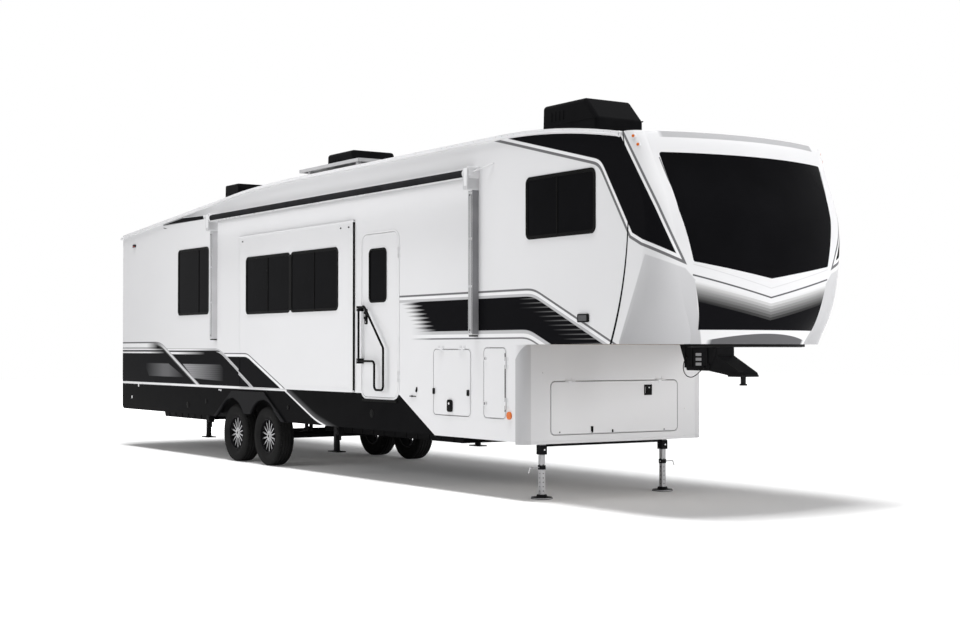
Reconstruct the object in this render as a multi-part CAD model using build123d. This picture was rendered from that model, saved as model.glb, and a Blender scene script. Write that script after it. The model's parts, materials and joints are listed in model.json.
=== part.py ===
from build123d import *
from math import pi
import os

# Fifth wheel travel trailer, in millimetres.
# +X runs forward to the kingpin, +Y to the off side, +Z up. The door side is -Y.
# The origin is on the ground, under the middle of the whole trailer.

# Body shell
BODY_WIDTH = 2440
WALL = 50
ROOF_THICK = 50
REAR_X = -6645
STEP_X = 4335             # front of the low part of the body
FLOOR_Z = 975             # top of the living floor
FLOOR_THICK = 70
SKIRT_BOTTOM = 600
SKIRT_TOP = 1024
SKIRT_THICK = 20
SKIRT_END_TOP_X, SKIRT_END_LOW_X = 2042, 2801
SKIRT_REAR_RADIUS = 75    # its rear lower corner
NECK_BOTTOM = 1587        # underside of the raised front
NECK_FLOOR = 50
BULKHEAD_X = 2585         # wall between the living room and the front storage
BULKHEAD_THICK = 30
STORAGE_FLOOR_Z = 820
STORAGE_FLOOR_THICK = 20

# Roof line at the side: rear corner, rise, level stretch, fall to the cap
REAR_TOP = 3373
RISE_MID_X, RISE_MID_Z = -4415, 3535
RISE_END_X, RISE_END_Z = -2215, 3700
LEVEL_X = -455
ROOF_TOP = 3745
FALL_X = 4065
FALL_MID_X, FALL_MID_Z = 5085, 3692
CAP_TOP = 3548

# Seam between side wall and front cap, an arc seen from the side
SEAM_TOP_X = 6055
SEAM_MID_X, SEAM_MID_Z = 6125, 2580
SEAM_LOW_X = 5875

# Front cap, level sections: height, x of the crease beside the wall, x and y of the shoulder
# where the corner meets the face, nose x
CAP_SECTIONS = (
    (NECK_BOTTOM, 6020, 6440, 750, 6640),
    (1715, 6085, 6495, 790, 6695),
    (1900, 6180, 6545, 890, 6722),
    (2343, 6325, 6575, 1000, 6745),
    (2850, 6350, 6515, 1055, 6668),
    (3350, 6185, 6312, 1090, 6540),
    (3480, 6150, 6255, 1100, 6505),
    (CAP_TOP, 6120, 6215, 1100, 6440),
)
CAP_WALL = 50
CAP_BULGE = 0.155         # how far a corner bulges from its chord, as a share of the chord
CAP_BACK_X = 5300         # the nose's sections start here, well behind the seam
CAP_REACH = 2000          # from there to well ahead of the nose

# Windshield seen from the front: (distance from the side, height) at its corners
SHIELD_TOP = (190, 3342)
SHIELD_MIDDLE = (248, 2790)
SHIELD_SIDE = (363, 2333)
SHIELD_TIP_Z = 2194
SHIELD_RADIUS = 25
SHIELD_THICK = 12

# Wheels
AXLE_MID_X = -1942
AXLE_SPACING = 980
TYRE_RADIUS = 391
TYRE_WIDTH = 235
TYRE_INSET = 25           # tyre's outer face inside the body's side
TYRE_SHOULDER = 20
RIM_RADIUS = 228
RIM_WIDTH = 190
RIM_BARREL = 14
RIM_DISC = 24
RIM_DISC_INSET = 26       # disc's face behind the rim's outer edge
SPOKE_COUNT = 14
SPOKE_WIDTH = 17
SPOKE_ROOT, SPOKE_TIP = 70, 206
HUB_RADIUS = 58
HUB_DEPTH = 70
HUB_CAP = 12
SPINDLE_RADIUS = 30
BEARING_GAP = 0.08
WHEEL_GAP = 8             # hub to axle tube, along the axle

# Axles and springs
AXLE_TUBE_RADIUS = 38
SPRING_RISE = 75
SPRING_THICK = 28
SPRING_WIDTH = 60
SPRING_END_GAP = 12
HANGER_THICK = 8
HANGER_LENGTH = 90
HANGER_DROP = 34          # hangers reach this far below a spring's end

# Moulded fender around both wheels of a side
ARCH_RADIUS = 484         # round opening over each wheel
ARCH_FOOT_Z = 735         # the openings slant outwards below this height
ARCH_FOOT = (330, 545)    # the slant from the axle, at its top and at the skirt's edge
ARCH_TONGUE_Z = 668       # tip of the tongue between the wheels
FENDER_TOP = 972
FENDER_REACH = (0, 610)   # outline beyond the outer axles, at its top and at the skirt's edge
FENDER_PROUD = 30

# Chassis
RAIL_INSET = 407          # middle of a rail from the body's side
RAIL_WIDTH = 90
RAIL_BOTTOM = 620
CROSS_LIFT = 20
CROSS_DEPTH = 90
CROSS_WIDTH = 60
CROSS_XS = (-6300, -5000, -2900, -930, 1500, 2500, 3400)
BUMPER = 100
BUMPER_INSET = 140
BUMPER_BOTTOM = 640

# Landing legs and stabilizer jacks
LEG_SETBACK = 106         # legs behind the front of the low body
LEG_TUBE = 50
LEG_OUTER = 66
LEG_OUTER_BOTTOM = 470
LEG_PAD_RADIUS = 113
LEG_PAD_THICK = 14
LEG_BAR = 50
LEG_BAR_Z = 560
JACK_XS = (-3635, 245)
JACK_INSET = 170
JACK_FOOT_Z = 270
JACK_FOOT = (230, 130, 14)
JACK_TUBE = 56

# Slide-out rooms
SLIDE_REAR_X, SLIDE_FRONT_X = -2199, 1003
SLIDE_BOTTOM, SLIDE_TOP = 1026, 3086
SLIDE_FLANGE = 40
SLIDE_FASCIA = 24
SLIDE_GAP = 10
SLIDE_SEAL = 3
SLIDE_WALL = 40
SLIDE_INNER_Y = 250
SLIDE_RADIUS = 25
RUNNER_XS = (-1700, 500)
RUNNER_WIDTH = 80
RUNNER_GAP = 0.3

# Windows
WINDOW_RADIUS = 70
FRAME_RING = 22
FRAME_PROUD = 8
FRAME_DEPTH = 20
GLASS_THICK = 8
GLASS_INSET = 2
# Fixed windows of both side walls: rear x, front x, bottom, top
WALL_WINDOWS = ((-4375, -3265, 2040, 3010), (4525, 5655, 2635, 3260))
# Windows of a slide-out: rear x, front x, bottom, top
SLIDE_WINDOWS = ((-1966, -648, 2011, 2785), (-632, 638, 2011, 2785))
# Rear window: distance from the side, bottom, top
REAR_WINDOW = (520, 1950, 2850)

# Doors
DOOR_GAP = 6
DOOR_THICK = 45
DOOR_PROUD = 2
DOOR_RADIUS = 110
DOOR_REAR_X, DOOR_FRONT_X = 1175, 2025
DOOR_BOTTOM, DOOR_TOP = 979, 2893
# Window of the entry door: rear x, front x, bottom, top
DOOR_WINDOW = (1350, 1768, 2084, 2718)
DOOR_HINGE_INSET = 250
LATCH_X, LATCH_Z = 1284, 1925
BAGGAGE_RADIUS = 55
# Baggage doors: rear x, front x, bottom, top
LARGE_DOOR = (2769, 3518, 822, 1545)
NARROW_DOOR = (3759, 4175, 823, 1560)
FRONT_DOOR = (365, 658, 1215)     # distance from the side, bottom, top
BAGGAGE_HINGE_INSET = 160
FRONT_HINGE_INSET = 250
LATCH_OUT = 14
# Latches of the baggage doors, from the rear edge and the bottom, or from the front edge and
# the top where negative: x, z, half width, half height
LARGE_LATCHES = ((353, 110, 48, 64), (28, 262, 16, 32), (-40, 256, 16, 32))
NARROW_LATCHES = ((40, -117, 16, 16), (36, 153, 24, 20))
FRONT_LATCH = (435, 106, 42, 34)  # y, distance below the door's top, half width, half height

# Hinges: the axis lies HINGE_OUT outside the wall, and the knuckles come in threes
HINGE_OUT = 10
KNUCKLE_RADIUS = 7
KNUCKLE_LENGTH = 40
KNUCKLE_GAP = 0.3
HINGE_LEAF = 34
HINGE_LEAF_THICK = 3

# Grab handle, folded across the door
HANDLE_X = 1207
HANDLE_OUT = 62
HANDLE_TUBE = 13
HANDLE_TOP, HANDLE_BOTTOM = 2020, 1402
HANDLE_CREST = (130, 28)  # crest of the upper bend, from the upper block
HANDLE_REACH = 577
HANDLE_RETURN = 372       # the inner upright, from the blocks
HANDLE_KNEE_Z, HANDLE_LOW_Z = 1555, 1070
HANDLE_BEND = 50

# Lower front cap
FRONT_THICK = 100
FRONT_CORNER = 95
FRONT_LIP = 25            # the moulding hangs this far below the body

# Awning on the door side
AWNING_OUT = 100          # roller's middle from the side wall
AWNING_Z = 3385
AWNING_RADIUS = 45
AWNING_ARM_XS = (-3008, 3628)
AWNING_ARM_BOTTOM = 1690
AWNING_ARM_WIDTH = 70
AWNING_ARM_DEPTH = 80
AWNING_HEAD = (90, 65, 175)   # width, height above and depth below the roller's middle

# Pin box and kingpin
PIN_X = 6352
PIN_PLATE_Z = 1278        # underside of the bolster plate
PIN_PLATE_THICK = 14
PIN_PLATE_HALF = 95
PIN_NECK_RADIUS = 25.4
PIN_LENGTH = 83
PIN_LIP_RADIUS = 36.5
PIN_LIP = 16
PIN_BOX_HALF = 110
# Side outline of the box behind and ahead of its plate: x, z
PIN_BOX_REAR = ((5994, 1332), (5677, 1334), (5573, NECK_BOTTOM))
PIN_BOX_FRONT = ((6111, NECK_BOTTOM), (6111, 1479), (6426, 1320))

# Lamps: side markers and tail lamps
MARKER_X, MARKER_Z = 4234, 864
MARKER_RADIUS = 40
MARKER_PROUD = 14
TAIL_INSET = 150
TAIL_HALF = 50
TAIL_BOTTOM, TAIL_TOP = 1120, 1480
TAIL_PROUD = 24

# Things on the roof: name, rear x, front x, half width, middle y, top z, lean of the back,
# slant of the upper front as its length along the top and its depth, rounding of the edges
ROOF_UNITS = (
    ("air_conditioner_front", 3530, 4520, 315, 0, 4185, 30, (215, 230), 45),
    ("air_conditioner_middle", -1420, -630, 325, 0, 4180, 35, (60, 140), 45),
    ("roof_vent", -3825, -3345, 230, -500, 3950, 25, (25, 60), 20),
)

HALF = BODY_WIDTH / 2
INNER = HALF - WALL
DOOR_Y = -HALF - DOOR_PROUD
FASCIA_Y = -HALF - SLIDE_SEAL - SLIDE_FASCIA
FRONT_X = STEP_X + FRONT_THICK
WHEEL_Y = HALF - TYRE_INSET - TYRE_WIDTH / 2
AXLE_XS = (AXLE_MID_X - AXLE_SPACING / 2, AXLE_MID_X + AXLE_SPACING / 2)
RAIL_Y = HALF - RAIL_INSET
JACK_Y = HALF - JACK_INSET
LEG_X = STEP_X - LEG_SETBACK
AWNING_Y = HALF + AWNING_OUT
FAR = 200                 # overshoot of cutting solids


def span(x0, x1, y0, y1, z0, z1):
    """Box between two corners."""
    return Pos((x0 + x1) / 2, (y0 + y1) / 2, (z0 + z1) / 2) * Box(abs(x1 - x0), abs(y1 - y0), abs(z1 - z0))


def side_slab(x0, x1, z0, z1, y0, y1, radius):
    """Plate with rounded corners seen from the side, between two Y values."""
    plane = Plane(origin=((x0 + x1) / 2, min(y0, y1), (z0 + z1) / 2), x_dir=(1, 0, 0), z_dir=(0, 1, 0))
    return extrude(plane * RectangleRounded(x1 - x0, z1 - z0, radius), amount=abs(y1 - y0))


def front_slab(half, z0, z1, x0, x1, radius):
    """Plate with rounded corners seen from the front, centred on Y = 0."""
    plane = Plane(origin=(x0, 0, (z0 + z1) / 2), x_dir=(0, 1, 0), z_dir=(1, 0, 0))
    return extrude(plane * RectangleRounded(2 * half, z1 - z0, radius), amount=x1 - x0)


def side_profile(points, y0, y1):
    """Closed outline of (x, z) points carried from y0 to y1."""
    face = make_face(Polyline([(x, y0, z) for x, z in points], close=True))
    return extrude(face, amount=y1 - y0, dir=(0, 1, 0))


def mirrored(shape):
    return mirror(shape, about=Plane.XZ)


def both(shape):
    return shape + mirrored(shape)


def save(name, shape):
    export_step(shape, f"parts/{name}.step")


def roof_edges(drop, y):
    """Roof line at one Y, lowered by drop, from the rear corner to the cap's seam."""
    points = [
        (REAR_X, REAR_TOP), (RISE_MID_X, RISE_MID_Z), (RISE_END_X, RISE_END_Z), (LEVEL_X, ROOF_TOP),
        (FALL_X, ROOF_TOP), (FALL_MID_X, FALL_MID_Z), (SEAM_TOP_X, CAP_TOP),
    ]
    rear, rise, knee, level, fall, dip, seam = [Vector(x, y, z - drop) for x, z in points]
    middle = (knee + level) / 2 + Vector(0, 0, (ROOF_TOP - RISE_END_Z) / 4)
    return [
        ThreePointArc(rear, rise, knee), ThreePointArc(knee, middle, level),
        Line(level, fall), ThreePointArc(fall, dip, seam),
    ]


def seam_arc(y):
    """Seam between body and cap, from the roof down."""
    top = Vector(SEAM_TOP_X, y, CAP_TOP)
    low = Vector(SEAM_LOW_X, y, NECK_BOTTOM)
    return ThreePointArc(top, Vector(SEAM_MID_X, y, SEAM_MID_Z), low)


def roof():
    """Roof skin over both side walls, from the rear wall to the cap."""
    top = roof_edges(0, -HALF)
    low = roof_edges(ROOF_THICK, -HALF)
    ends = [Line(top[-1] @ 1, low[-1] @ 1), Line(low[0] @ 0, top[0] @ 0)]
    return extrude(make_face(top + low + ends), amount=BODY_WIDTH, dir=(0, 1, 0)) & behind_seam()


def body_region(y0, y1):
    """Whole body seen from the side, up to the seam and under the roof skin."""
    top = roof_edges(0, y0)
    low = Polyline(
        (SEAM_LOW_X, y0, NECK_BOTTOM), (STEP_X, y0, NECK_BOTTOM), (STEP_X, y0, SKIRT_BOTTOM),
        (REAR_X, y0, SKIRT_BOTTOM), top[0] @ 0)
    return extrude(make_face(top + [seam_arc(y0), low]), amount=y1 - y0, dir=(0, 1, 0)) - roof()


def skirt_region(y0, y1):
    """Dark skirt along the bottom, with its slanted front end."""
    points = [
        (REAR_X, SKIRT_BOTTOM), (SKIRT_END_LOW_X, SKIRT_BOTTOM),
        (SKIRT_END_TOP_X, SKIRT_TOP), (REAR_X, SKIRT_TOP),
    ]
    return side_profile(points, y0, y1)


def door_hole():
    return side_slab(
        DOOR_REAR_X, DOOR_FRONT_X, DOOR_BOTTOM, DOOR_TOP, -HALF - FAR, -INNER + FAR, DOOR_RADIUS)


def wall_holes():
    """Holes of both side walls: slide-out, fixed windows and baggage doors."""
    y0, y1 = -HALF - FAR, -INNER + FAR
    holes = side_slab(
        SLIDE_REAR_X + SLIDE_FLANGE, SLIDE_FRONT_X - SLIDE_FLANGE,
        SLIDE_BOTTOM + SLIDE_FLANGE, SLIDE_TOP - SLIDE_FLANGE, y0, y1, SLIDE_RADIUS)
    for x0, x1, z0, z1 in WALL_WINDOWS:
        holes += side_slab(x0, x1, z0, z1, y0, y1, WINDOW_RADIUS)
    for x0, x1, z0, z1 in (LARGE_DOOR, NARROW_DOOR):
        holes += side_slab(x0, x1, z0, z1, y0, y1, BAGGAGE_RADIUS)
    return holes


def side_wall():
    """Side wall on the door side before the entry door is cut."""
    wall = body_region(-HALF, -INNER) - skirt_region(-HALF, -HALF + SKIRT_THICK)
    wall -= span(REAR_X, SKIRT_END_TOP_X, -HALF, -INNER, SKIRT_BOTTOM, FLOOR_Z - FLOOR_THICK)
    return wall - wall_holes()


def wheel_openings():
    """Room over both wheels of a side: two round arches, slanted outwards at their feet."""
    y0, y1 = -HALF - FAR, -HALF + FAR
    room = span(*AXLE_XS, y0, y1, SKIRT_BOTTOM - FAR, ARCH_TONGUE_Z)
    for x, way in zip(AXLE_XS, (-1, 1)):
        room += Pos(x, -HALF, TYRE_RADIUS) * Rot(90, 0, 0) * Cylinder(ARCH_RADIUS, 2 * FAR)
        top, foot = [x + way * reach for reach in ARCH_FOOT]
        slant = [(x, ARCH_FOOT_Z), (top, ARCH_FOOT_Z), (foot, SKIRT_BOTTOM), (x, SKIRT_BOTTOM)]
        room += side_profile(slant, y0, y1)
    return room


def skirt():
    """Skirt with the moulded fender around both wheels."""
    rear, front = AXLE_XS
    top, foot = FENDER_REACH
    outline = [
        (rear - foot, SKIRT_BOTTOM), (rear - top, FENDER_TOP),
        (front + top, FENDER_TOP), (front + foot, SKIRT_BOTTOM),
    ]
    fender = side_profile(outline, -HALF - FENDER_PROUD, -HALF + SKIRT_THICK)
    panel = skirt_region(-HALF, -HALF + SKIRT_THICK)
    rear_corner = panel.edges().filter_by(Axis.Y).sort_by(Axis.X)[:2].sort_by(Axis.Z)[0]
    return fillet(rear_corner, SKIRT_REAR_RADIUS) + fender - wheel_openings()


def rear_skirt():
    inside = HALF - SKIRT_THICK
    return span(REAR_X, REAR_X + SKIRT_THICK, -inside, inside, SKIRT_BOTTOM, FLOOR_Z - FLOOR_THICK)


def rear_wall():
    """Rear wall between the side walls, from the floor's underside to the roof skin."""
    wall = span(REAR_X, REAR_X + WALL, -INNER, INNER, FLOOR_Z - FLOOR_THICK, REAR_TOP)
    inset, z0, z1 = REAR_WINDOW
    hole = front_slab(HALF - inset, z0, z1, REAR_X - FAR, REAR_X + FAR, WINDOW_RADIUS)
    return (wall & body_region(-HALF, HALF)) - hole


def main_floor():
    return span(REAR_X + WALL, BULKHEAD_X, -INNER, INNER, FLOOR_Z - FLOOR_THICK, FLOOR_Z)


def storage_floor():
    return span(BULKHEAD_X, STEP_X, -INNER, INNER, STORAGE_FLOOR_Z - STORAGE_FLOOR_THICK, STORAGE_FLOOR_Z)


def bulkhead():
    top = NECK_BOTTOM + NECK_FLOOR
    return span(BULKHEAD_X, BULKHEAD_X + BULKHEAD_THICK, -INNER, INNER, STORAGE_FLOOR_Z, top)


def neck_floor():
    """Bedroom floor, from the bulkhead to the cap."""
    floor = span(
        BULKHEAD_X + BULKHEAD_THICK, SEAM_MID_X, -INNER, INNER, NECK_BOTTOM, NECK_BOTTOM + NECK_FLOOR)
    return floor & body_region(-HALF, HALF)


def cap_nose(inset, floor, ceiling, ruled):
    """Nose of the cap, a loft of level sections: a wide face arc between two corner arcs."""
    rings = []
    half = HALF - inset
    for z, crease_x, shoulder_x, shoulder_y, nose_x in CAP_SECTIONS:
        height = min(max(z, NECK_BOTTOM + floor), CAP_TOP - ceiling)
        crease = Vector(crease_x - inset, half, height)
        shoulder = Vector(shoulder_x - inset, shoulder_y - inset, height)
        nose = Vector(nose_x - inset, 0, height)
        chord = shoulder - crease
        middle = (crease + shoulder) / 2 + Vector(-chord.Y, chord.X, 0) * CAP_BULGE
        far_crease, far_middle, far_shoulder = [Vector(p.X, -p.Y, p.Z) for p in (crease, middle, shoulder)]
        corner = ThreePointArc(crease, middle, shoulder)
        face = ThreePointArc(shoulder, nose, far_shoulder)
        far_corner = ThreePointArc(far_shoulder, far_middle, far_crease)
        back = Polyline(far_crease, (CAP_BACK_X, -half, height), (CAP_BACK_X, half, height), crease)
        rings.append(make_face([corner, face, far_corner, back]))
    return loft(rings, ruled=ruled)


def behind_seam():
    """Everything behind the cap's seam."""
    y = -HALF - FAR
    seam = seam_arc(y)
    back_x = REAR_X - FAR
    back = Polyline(
        seam @ 1, (SEAM_LOW_X, y, NECK_BOTTOM - FAR), (back_x, y, NECK_BOTTOM - FAR),
        (back_x, y, ROOF_TOP + FAR), (SEAM_TOP_X, y, ROOF_TOP + FAR), seam @ 0)
    return extrude(make_face([seam, back]), amount=BODY_WIDTH + 2 * FAR, dir=(0, 1, 0))


def shield_region():
    """Windshield outline seen from the front, carried along X from behind the seam."""
    side = [(HALF - inset, z) for inset, z in (SHIELD_TOP, SHIELD_MIDDLE, SHIELD_SIDE)]
    far_side = [(-y, z) for y, z in reversed(side)]
    points = side + [(0, SHIELD_TIP_Z)] + far_side
    face = make_face(Polyline([(CAP_BACK_X, y, z) for y, z in points], close=True))
    return extrude(fillet(face.vertices(), SHIELD_RADIUS), amount=CAP_REACH, dir=(1, 0, 0))


def front_cap():
    """Front cap shell with the windshield's hole."""
    shell = cap_nose(0, 0, 0, False) - cap_nose(CAP_WALL, NECK_FLOOR, CAP_WALL, True) - behind_seam()
    return shell - shield_region()


def windshield():
    """Curved dark glass that fills the cap's hole, flush with its outside."""
    return (cap_nose(0, 0, 0, False) - cap_nose(SHIELD_THICK, 0, 0, False)) & shield_region()


def lower_front_cap():
    """Moulded front of the low body, with the hole for its door."""
    panel = span(STEP_X, FRONT_X, -HALF, HALF, SKIRT_BOTTOM - FRONT_LIP, NECK_BOTTOM)
    uprights = panel.edges().filter_by(Axis.Z).group_by(Axis.X)[-1]
    inset, z0, z1 = FRONT_DOOR
    hole = front_slab(HALF - inset, z0, z1, STEP_X - FAR, FRONT_X + FAR, BAGGAGE_RADIUS)
    return fillet(uprights, FRONT_CORNER) - hole


def window_ring(x0, x1, z0, z1, face_y):
    """Rubber ring in a window hole; face_y is the outer face on the door side."""
    outer = side_slab(x0, x1, z0, z1, face_y - FRAME_PROUD, face_y + FRAME_DEPTH, WINDOW_RADIUS)
    return outer - side_slab(
        x0 + FRAME_RING, x1 - FRAME_RING, z0 + FRAME_RING, z1 - FRAME_RING,
        face_y - FAR, face_y + FAR, WINDOW_RADIUS - FRAME_RING)


def window_pane(x0, x1, z0, z1, face_y):
    return side_slab(
        x0 + FRAME_RING, x1 - FRAME_RING, z0 + FRAME_RING, z1 - FRAME_RING,
        face_y + GLASS_INSET, face_y + GLASS_INSET + GLASS_THICK, WINDOW_RADIUS - FRAME_RING)


def rear_window():
    """Ring and pane of the rear wall's window."""
    inset, z0, z1 = REAR_WINDOW
    half = HALF - inset
    ring = front_slab(half, z0, z1, REAR_X - FRAME_PROUD, REAR_X + FRAME_DEPTH, WINDOW_RADIUS)
    inner = front_slab(
        half - FRAME_RING, z0 + FRAME_RING, z1 - FRAME_RING, REAR_X - FAR, REAR_X + FAR,
        WINDOW_RADIUS - FRAME_RING)
    pane = front_slab(
        half - FRAME_RING, z0 + FRAME_RING, z1 - FRAME_RING, REAR_X + GLASS_INSET,
        REAR_X + GLASS_INSET + GLASS_THICK, WINDOW_RADIUS - FRAME_RING)
    return ring - inner, pane


def row(make, table, face_y):
    """One piece for each line of a window table."""
    parts = [make(*line, face_y) for line in table]
    return Part() + parts


def slide_room():
    """Slide-out room: fascia, outer wall and open-backed box."""
    fascia = side_slab(
        SLIDE_REAR_X, SLIDE_FRONT_X, SLIDE_BOTTOM, SLIDE_TOP, FASCIA_Y, -HALF - SLIDE_SEAL, SLIDE_RADIUS)
    edge = SLIDE_FLANGE + SLIDE_GAP
    inside = edge + SLIDE_WALL
    box = span(
        SLIDE_REAR_X + edge, SLIDE_FRONT_X - edge, -HALF - SLIDE_SEAL, -SLIDE_INNER_Y,
        SLIDE_BOTTOM + edge, SLIDE_TOP - edge)
    hollow = span(
        SLIDE_REAR_X + inside, SLIDE_FRONT_X - inside, FASCIA_Y + SLIDE_WALL, FAR,
        SLIDE_BOTTOM + inside, SLIDE_TOP - inside)
    room = fascia + box - hollow
    for x0, x1, z0, z1 in SLIDE_WINDOWS:
        room -= side_slab(x0, x1, z0, z1, FASCIA_Y - FAR, FASCIA_Y + FAR, WINDOW_RADIUS)
    return room


def slide_runners():
    """Runners on the living floor that carry both slide-outs."""
    top = SLIDE_BOTTOM + SLIDE_FLANGE + SLIDE_GAP - RUNNER_GAP
    half = RUNNER_WIDTH / 2
    runners = [span(x - half, x + half, -INNER, -SLIDE_INNER_Y, FLOOR_Z, top) for x in RUNNER_XS]
    return both(Part() + runners)


def hinge(origin, outward, along, fixed):
    """One half of a hinge of three knuckles; the middle one turns with the door.

    The local frame has X pointing out of the wall and Z along the axis, so that the wall
    lies on local +Y and the door on local -Y.
    """
    place = Location(Plane(origin=origin, x_dir=outward, z_dir=along))
    pitch = KNUCKLE_LENGTH + KNUCKLE_GAP
    parts = []
    for step in ((-1, 1) if fixed else (0,)):
        knuckle = Pos(0, 0, step * pitch) * Cylinder(KNUCKLE_RADIUS, KNUCKLE_LENGTH)
        face = -HINGE_OUT if fixed else -HINGE_OUT + DOOR_PROUD
        side = 1 if fixed else -1
        leaf = Pos(face + HINGE_LEAF_THICK / 2, side * HINGE_LEAF / 2, step * pitch) * Box(
            HINGE_LEAF_THICK, HINGE_LEAF, KNUCKLE_LENGTH)
        web = Pos(face / 2, side * 3, step * pitch) * Box(-face, 6, KNUCKLE_LENGTH)
        parts.append(knuckle + leaf + web)
    return [place * part for part in parts]


def entry_door():
    """Door leaf with its window hole."""
    leaf = side_slab(
        DOOR_REAR_X + DOOR_GAP, DOOR_FRONT_X - DOOR_GAP, DOOR_BOTTOM + DOOR_GAP, DOOR_TOP - DOOR_GAP,
        DOOR_Y, DOOR_Y + DOOR_THICK, DOOR_RADIUS - DOOR_GAP)
    x0, x1, z0, z1 = DOOR_WINDOW
    return leaf - side_slab(x0, x1, z0, z1, DOOR_Y - FAR, DOOR_Y + FAR, WINDOW_RADIUS)


def door_latch():
    """Latch housing with its paddle."""
    x, z = LATCH_X, LATCH_Z
    plate = side_slab(x - 34, x + 34, z - 90, z + 90, DOOR_Y - 8, DOOR_Y, 18)
    paddle = side_slab(x - 22, x + 22, z - 30, z + 60, DOOR_Y - 24, DOOR_Y - 8, 10)
    return plate + paddle


def grab_handle():
    """Bent tube on two blocks, lying across the door."""
    y = DOOR_Y - HANDLE_OUT
    outer, inner = HANDLE_X + HANDLE_REACH, HANDLE_X + HANDLE_RETURN
    crest_x, crest_z = HANDLE_CREST
    path = FilletPolyline(
        (HANDLE_X, y, HANDLE_TOP), (HANDLE_X + crest_x, y, HANDLE_TOP + crest_z), (outer, y, HANDLE_KNEE_Z),
        (outer, y, HANDLE_LOW_Z), (inner, y, HANDLE_LOW_Z), (inner, y, HANDLE_BOTTOM),
        (HANDLE_X, y, HANDLE_BOTTOM), radius=HANDLE_BEND)
    handle = sweep(Plane(origin=path @ 0, z_dir=path % 0) * Circle(HANDLE_TUBE), path=path)
    middle = (HANDLE_TOP + HANDLE_BOTTOM) / 2
    handle += Pos(HANDLE_X, y, middle) * Cylinder(HANDLE_TUBE, HANDLE_TOP - HANDLE_BOTTOM)
    for z in (HANDLE_TOP, HANDLE_BOTTOM):
        handle += span(HANDLE_X - 20, HANDLE_X + 20, DOOR_Y, y - HANDLE_TUBE - 4, z - 30, z + 30)
    return handle


def baggage_door(x0, x1, z0, z1, latches):
    """Flush storage door with its latches."""
    leaf = side_slab(
        x0 + DOOR_GAP, x1 - DOOR_GAP, z0 + DOOR_GAP, z1 - DOOR_GAP,
        DOOR_Y, DOOR_Y + DOOR_THICK, BAGGAGE_RADIUS - DOOR_GAP)
    for dx, dz, half_width, half_height in latches:
        x = (x0 if dx > 0 else x1) + dx
        z = (z0 if dz > 0 else z1) + dz
        leaf += side_slab(
            x - half_width, x + half_width, z - half_height, z + half_height,
            DOOR_Y - LATCH_OUT, DOOR_Y, half_width / 2)
    return leaf


def front_door():
    """Storage door in the lower front cap."""
    inset, z0, z1 = FRONT_DOOR
    face = FRONT_X + DOOR_PROUD
    leaf = front_slab(
        HALF - inset - DOOR_GAP, z0 + DOOR_GAP, z1 - DOOR_GAP, face - DOOR_THICK, face,
        BAGGAGE_RADIUS - DOOR_GAP)
    y, drop, half_width, half_height = FRONT_LATCH
    z = z1 - drop
    return leaf + span(
        face, face + LATCH_OUT, y - half_width, y + half_width, z - half_height, z + half_height)


def chassis_rails():
    """Two long rails, deep under the living room and shallow under the storage."""
    low_top = STORAGE_FLOOR_Z - STORAGE_FLOOR_THICK
    high_top = FLOOR_Z - FLOOR_THICK
    rear, front = REAR_X + WALL, LEG_X - LEG_OUTER / 2
    outline = [
        (rear, RAIL_BOTTOM), (front, RAIL_BOTTOM), (front, low_top),
        (BULKHEAD_X, low_top), (BULKHEAD_X, high_top), (rear, high_top),
    ]
    return both(side_profile(outline, -RAIL_Y - RAIL_WIDTH / 2, -RAIL_Y + RAIL_WIDTH / 2))


def cross_members():
    """Cross members between the rails, and the outriggers above the jacks."""
    inside = RAIL_Y - RAIL_WIDTH / 2
    outside = RAIL_Y + RAIL_WIDTH / 2
    low = RAIL_BOTTOM + CROSS_LIFT
    parts = [
        span(x - CROSS_WIDTH / 2, x + CROSS_WIDTH / 2, -inside, inside, low, low + CROSS_DEPTH)
        for x in CROSS_XS + JACK_XS]
    reach = JACK_Y + JACK_TUBE
    for x in JACK_XS:
        outrigger = span(
            x - CROSS_WIDTH, x + CROSS_WIDTH, -reach, -outside, RAIL_BOTTOM, RAIL_BOTTOM + CROSS_DEPTH)
        parts += [outrigger, mirrored(outrigger)]
    return Part() + parts


def spring_hangers():
    """Plates under the rails that hold the ends of the leaf springs."""
    end_z = TYRE_RADIUS + AXLE_TUBE_RADIUS + SPRING_RISE
    plates = []
    for offset in (-AXLE_SPACING, 0, AXLE_SPACING):
        x = AXLE_MID_X + offset
        for side in (-1, 1):
            inner = -RAIL_Y + side * SPRING_WIDTH / 2
            outer = inner + side * HANGER_THICK
            plates.append(span(
                x - HANGER_LENGTH / 2, x + HANGER_LENGTH / 2, inner, outer,
                end_z - HANGER_DROP, RAIL_BOTTOM))
    return both(Part() + plates)


def leaf_springs():
    """Four bowed springs, seated on the axle tubes."""
    springs = []
    lift = Vector(0, 0, SPRING_THICK)
    seat = TYRE_RADIUS + AXLE_TUBE_RADIUS
    reach = (AXLE_SPACING - SPRING_END_GAP) / 2
    for x in AXLE_XS:
        y = -RAIL_Y - SPRING_WIDTH / 2
        knots = [Vector(x + step * reach, y, seat + abs(step) * SPRING_RISE) for step in (-1, 0, 1)]
        low = ThreePointArc(*knots)
        top = ThreePointArc(*[knot + lift for knot in knots])
        face = make_face([low, Line(low @ 1, top @ 1), top, Line(top @ 0, low @ 0)])
        springs.append(extrude(face, amount=SPRING_WIDTH, dir=(0, 1, 0)))
    return both(Part() + springs)


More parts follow.
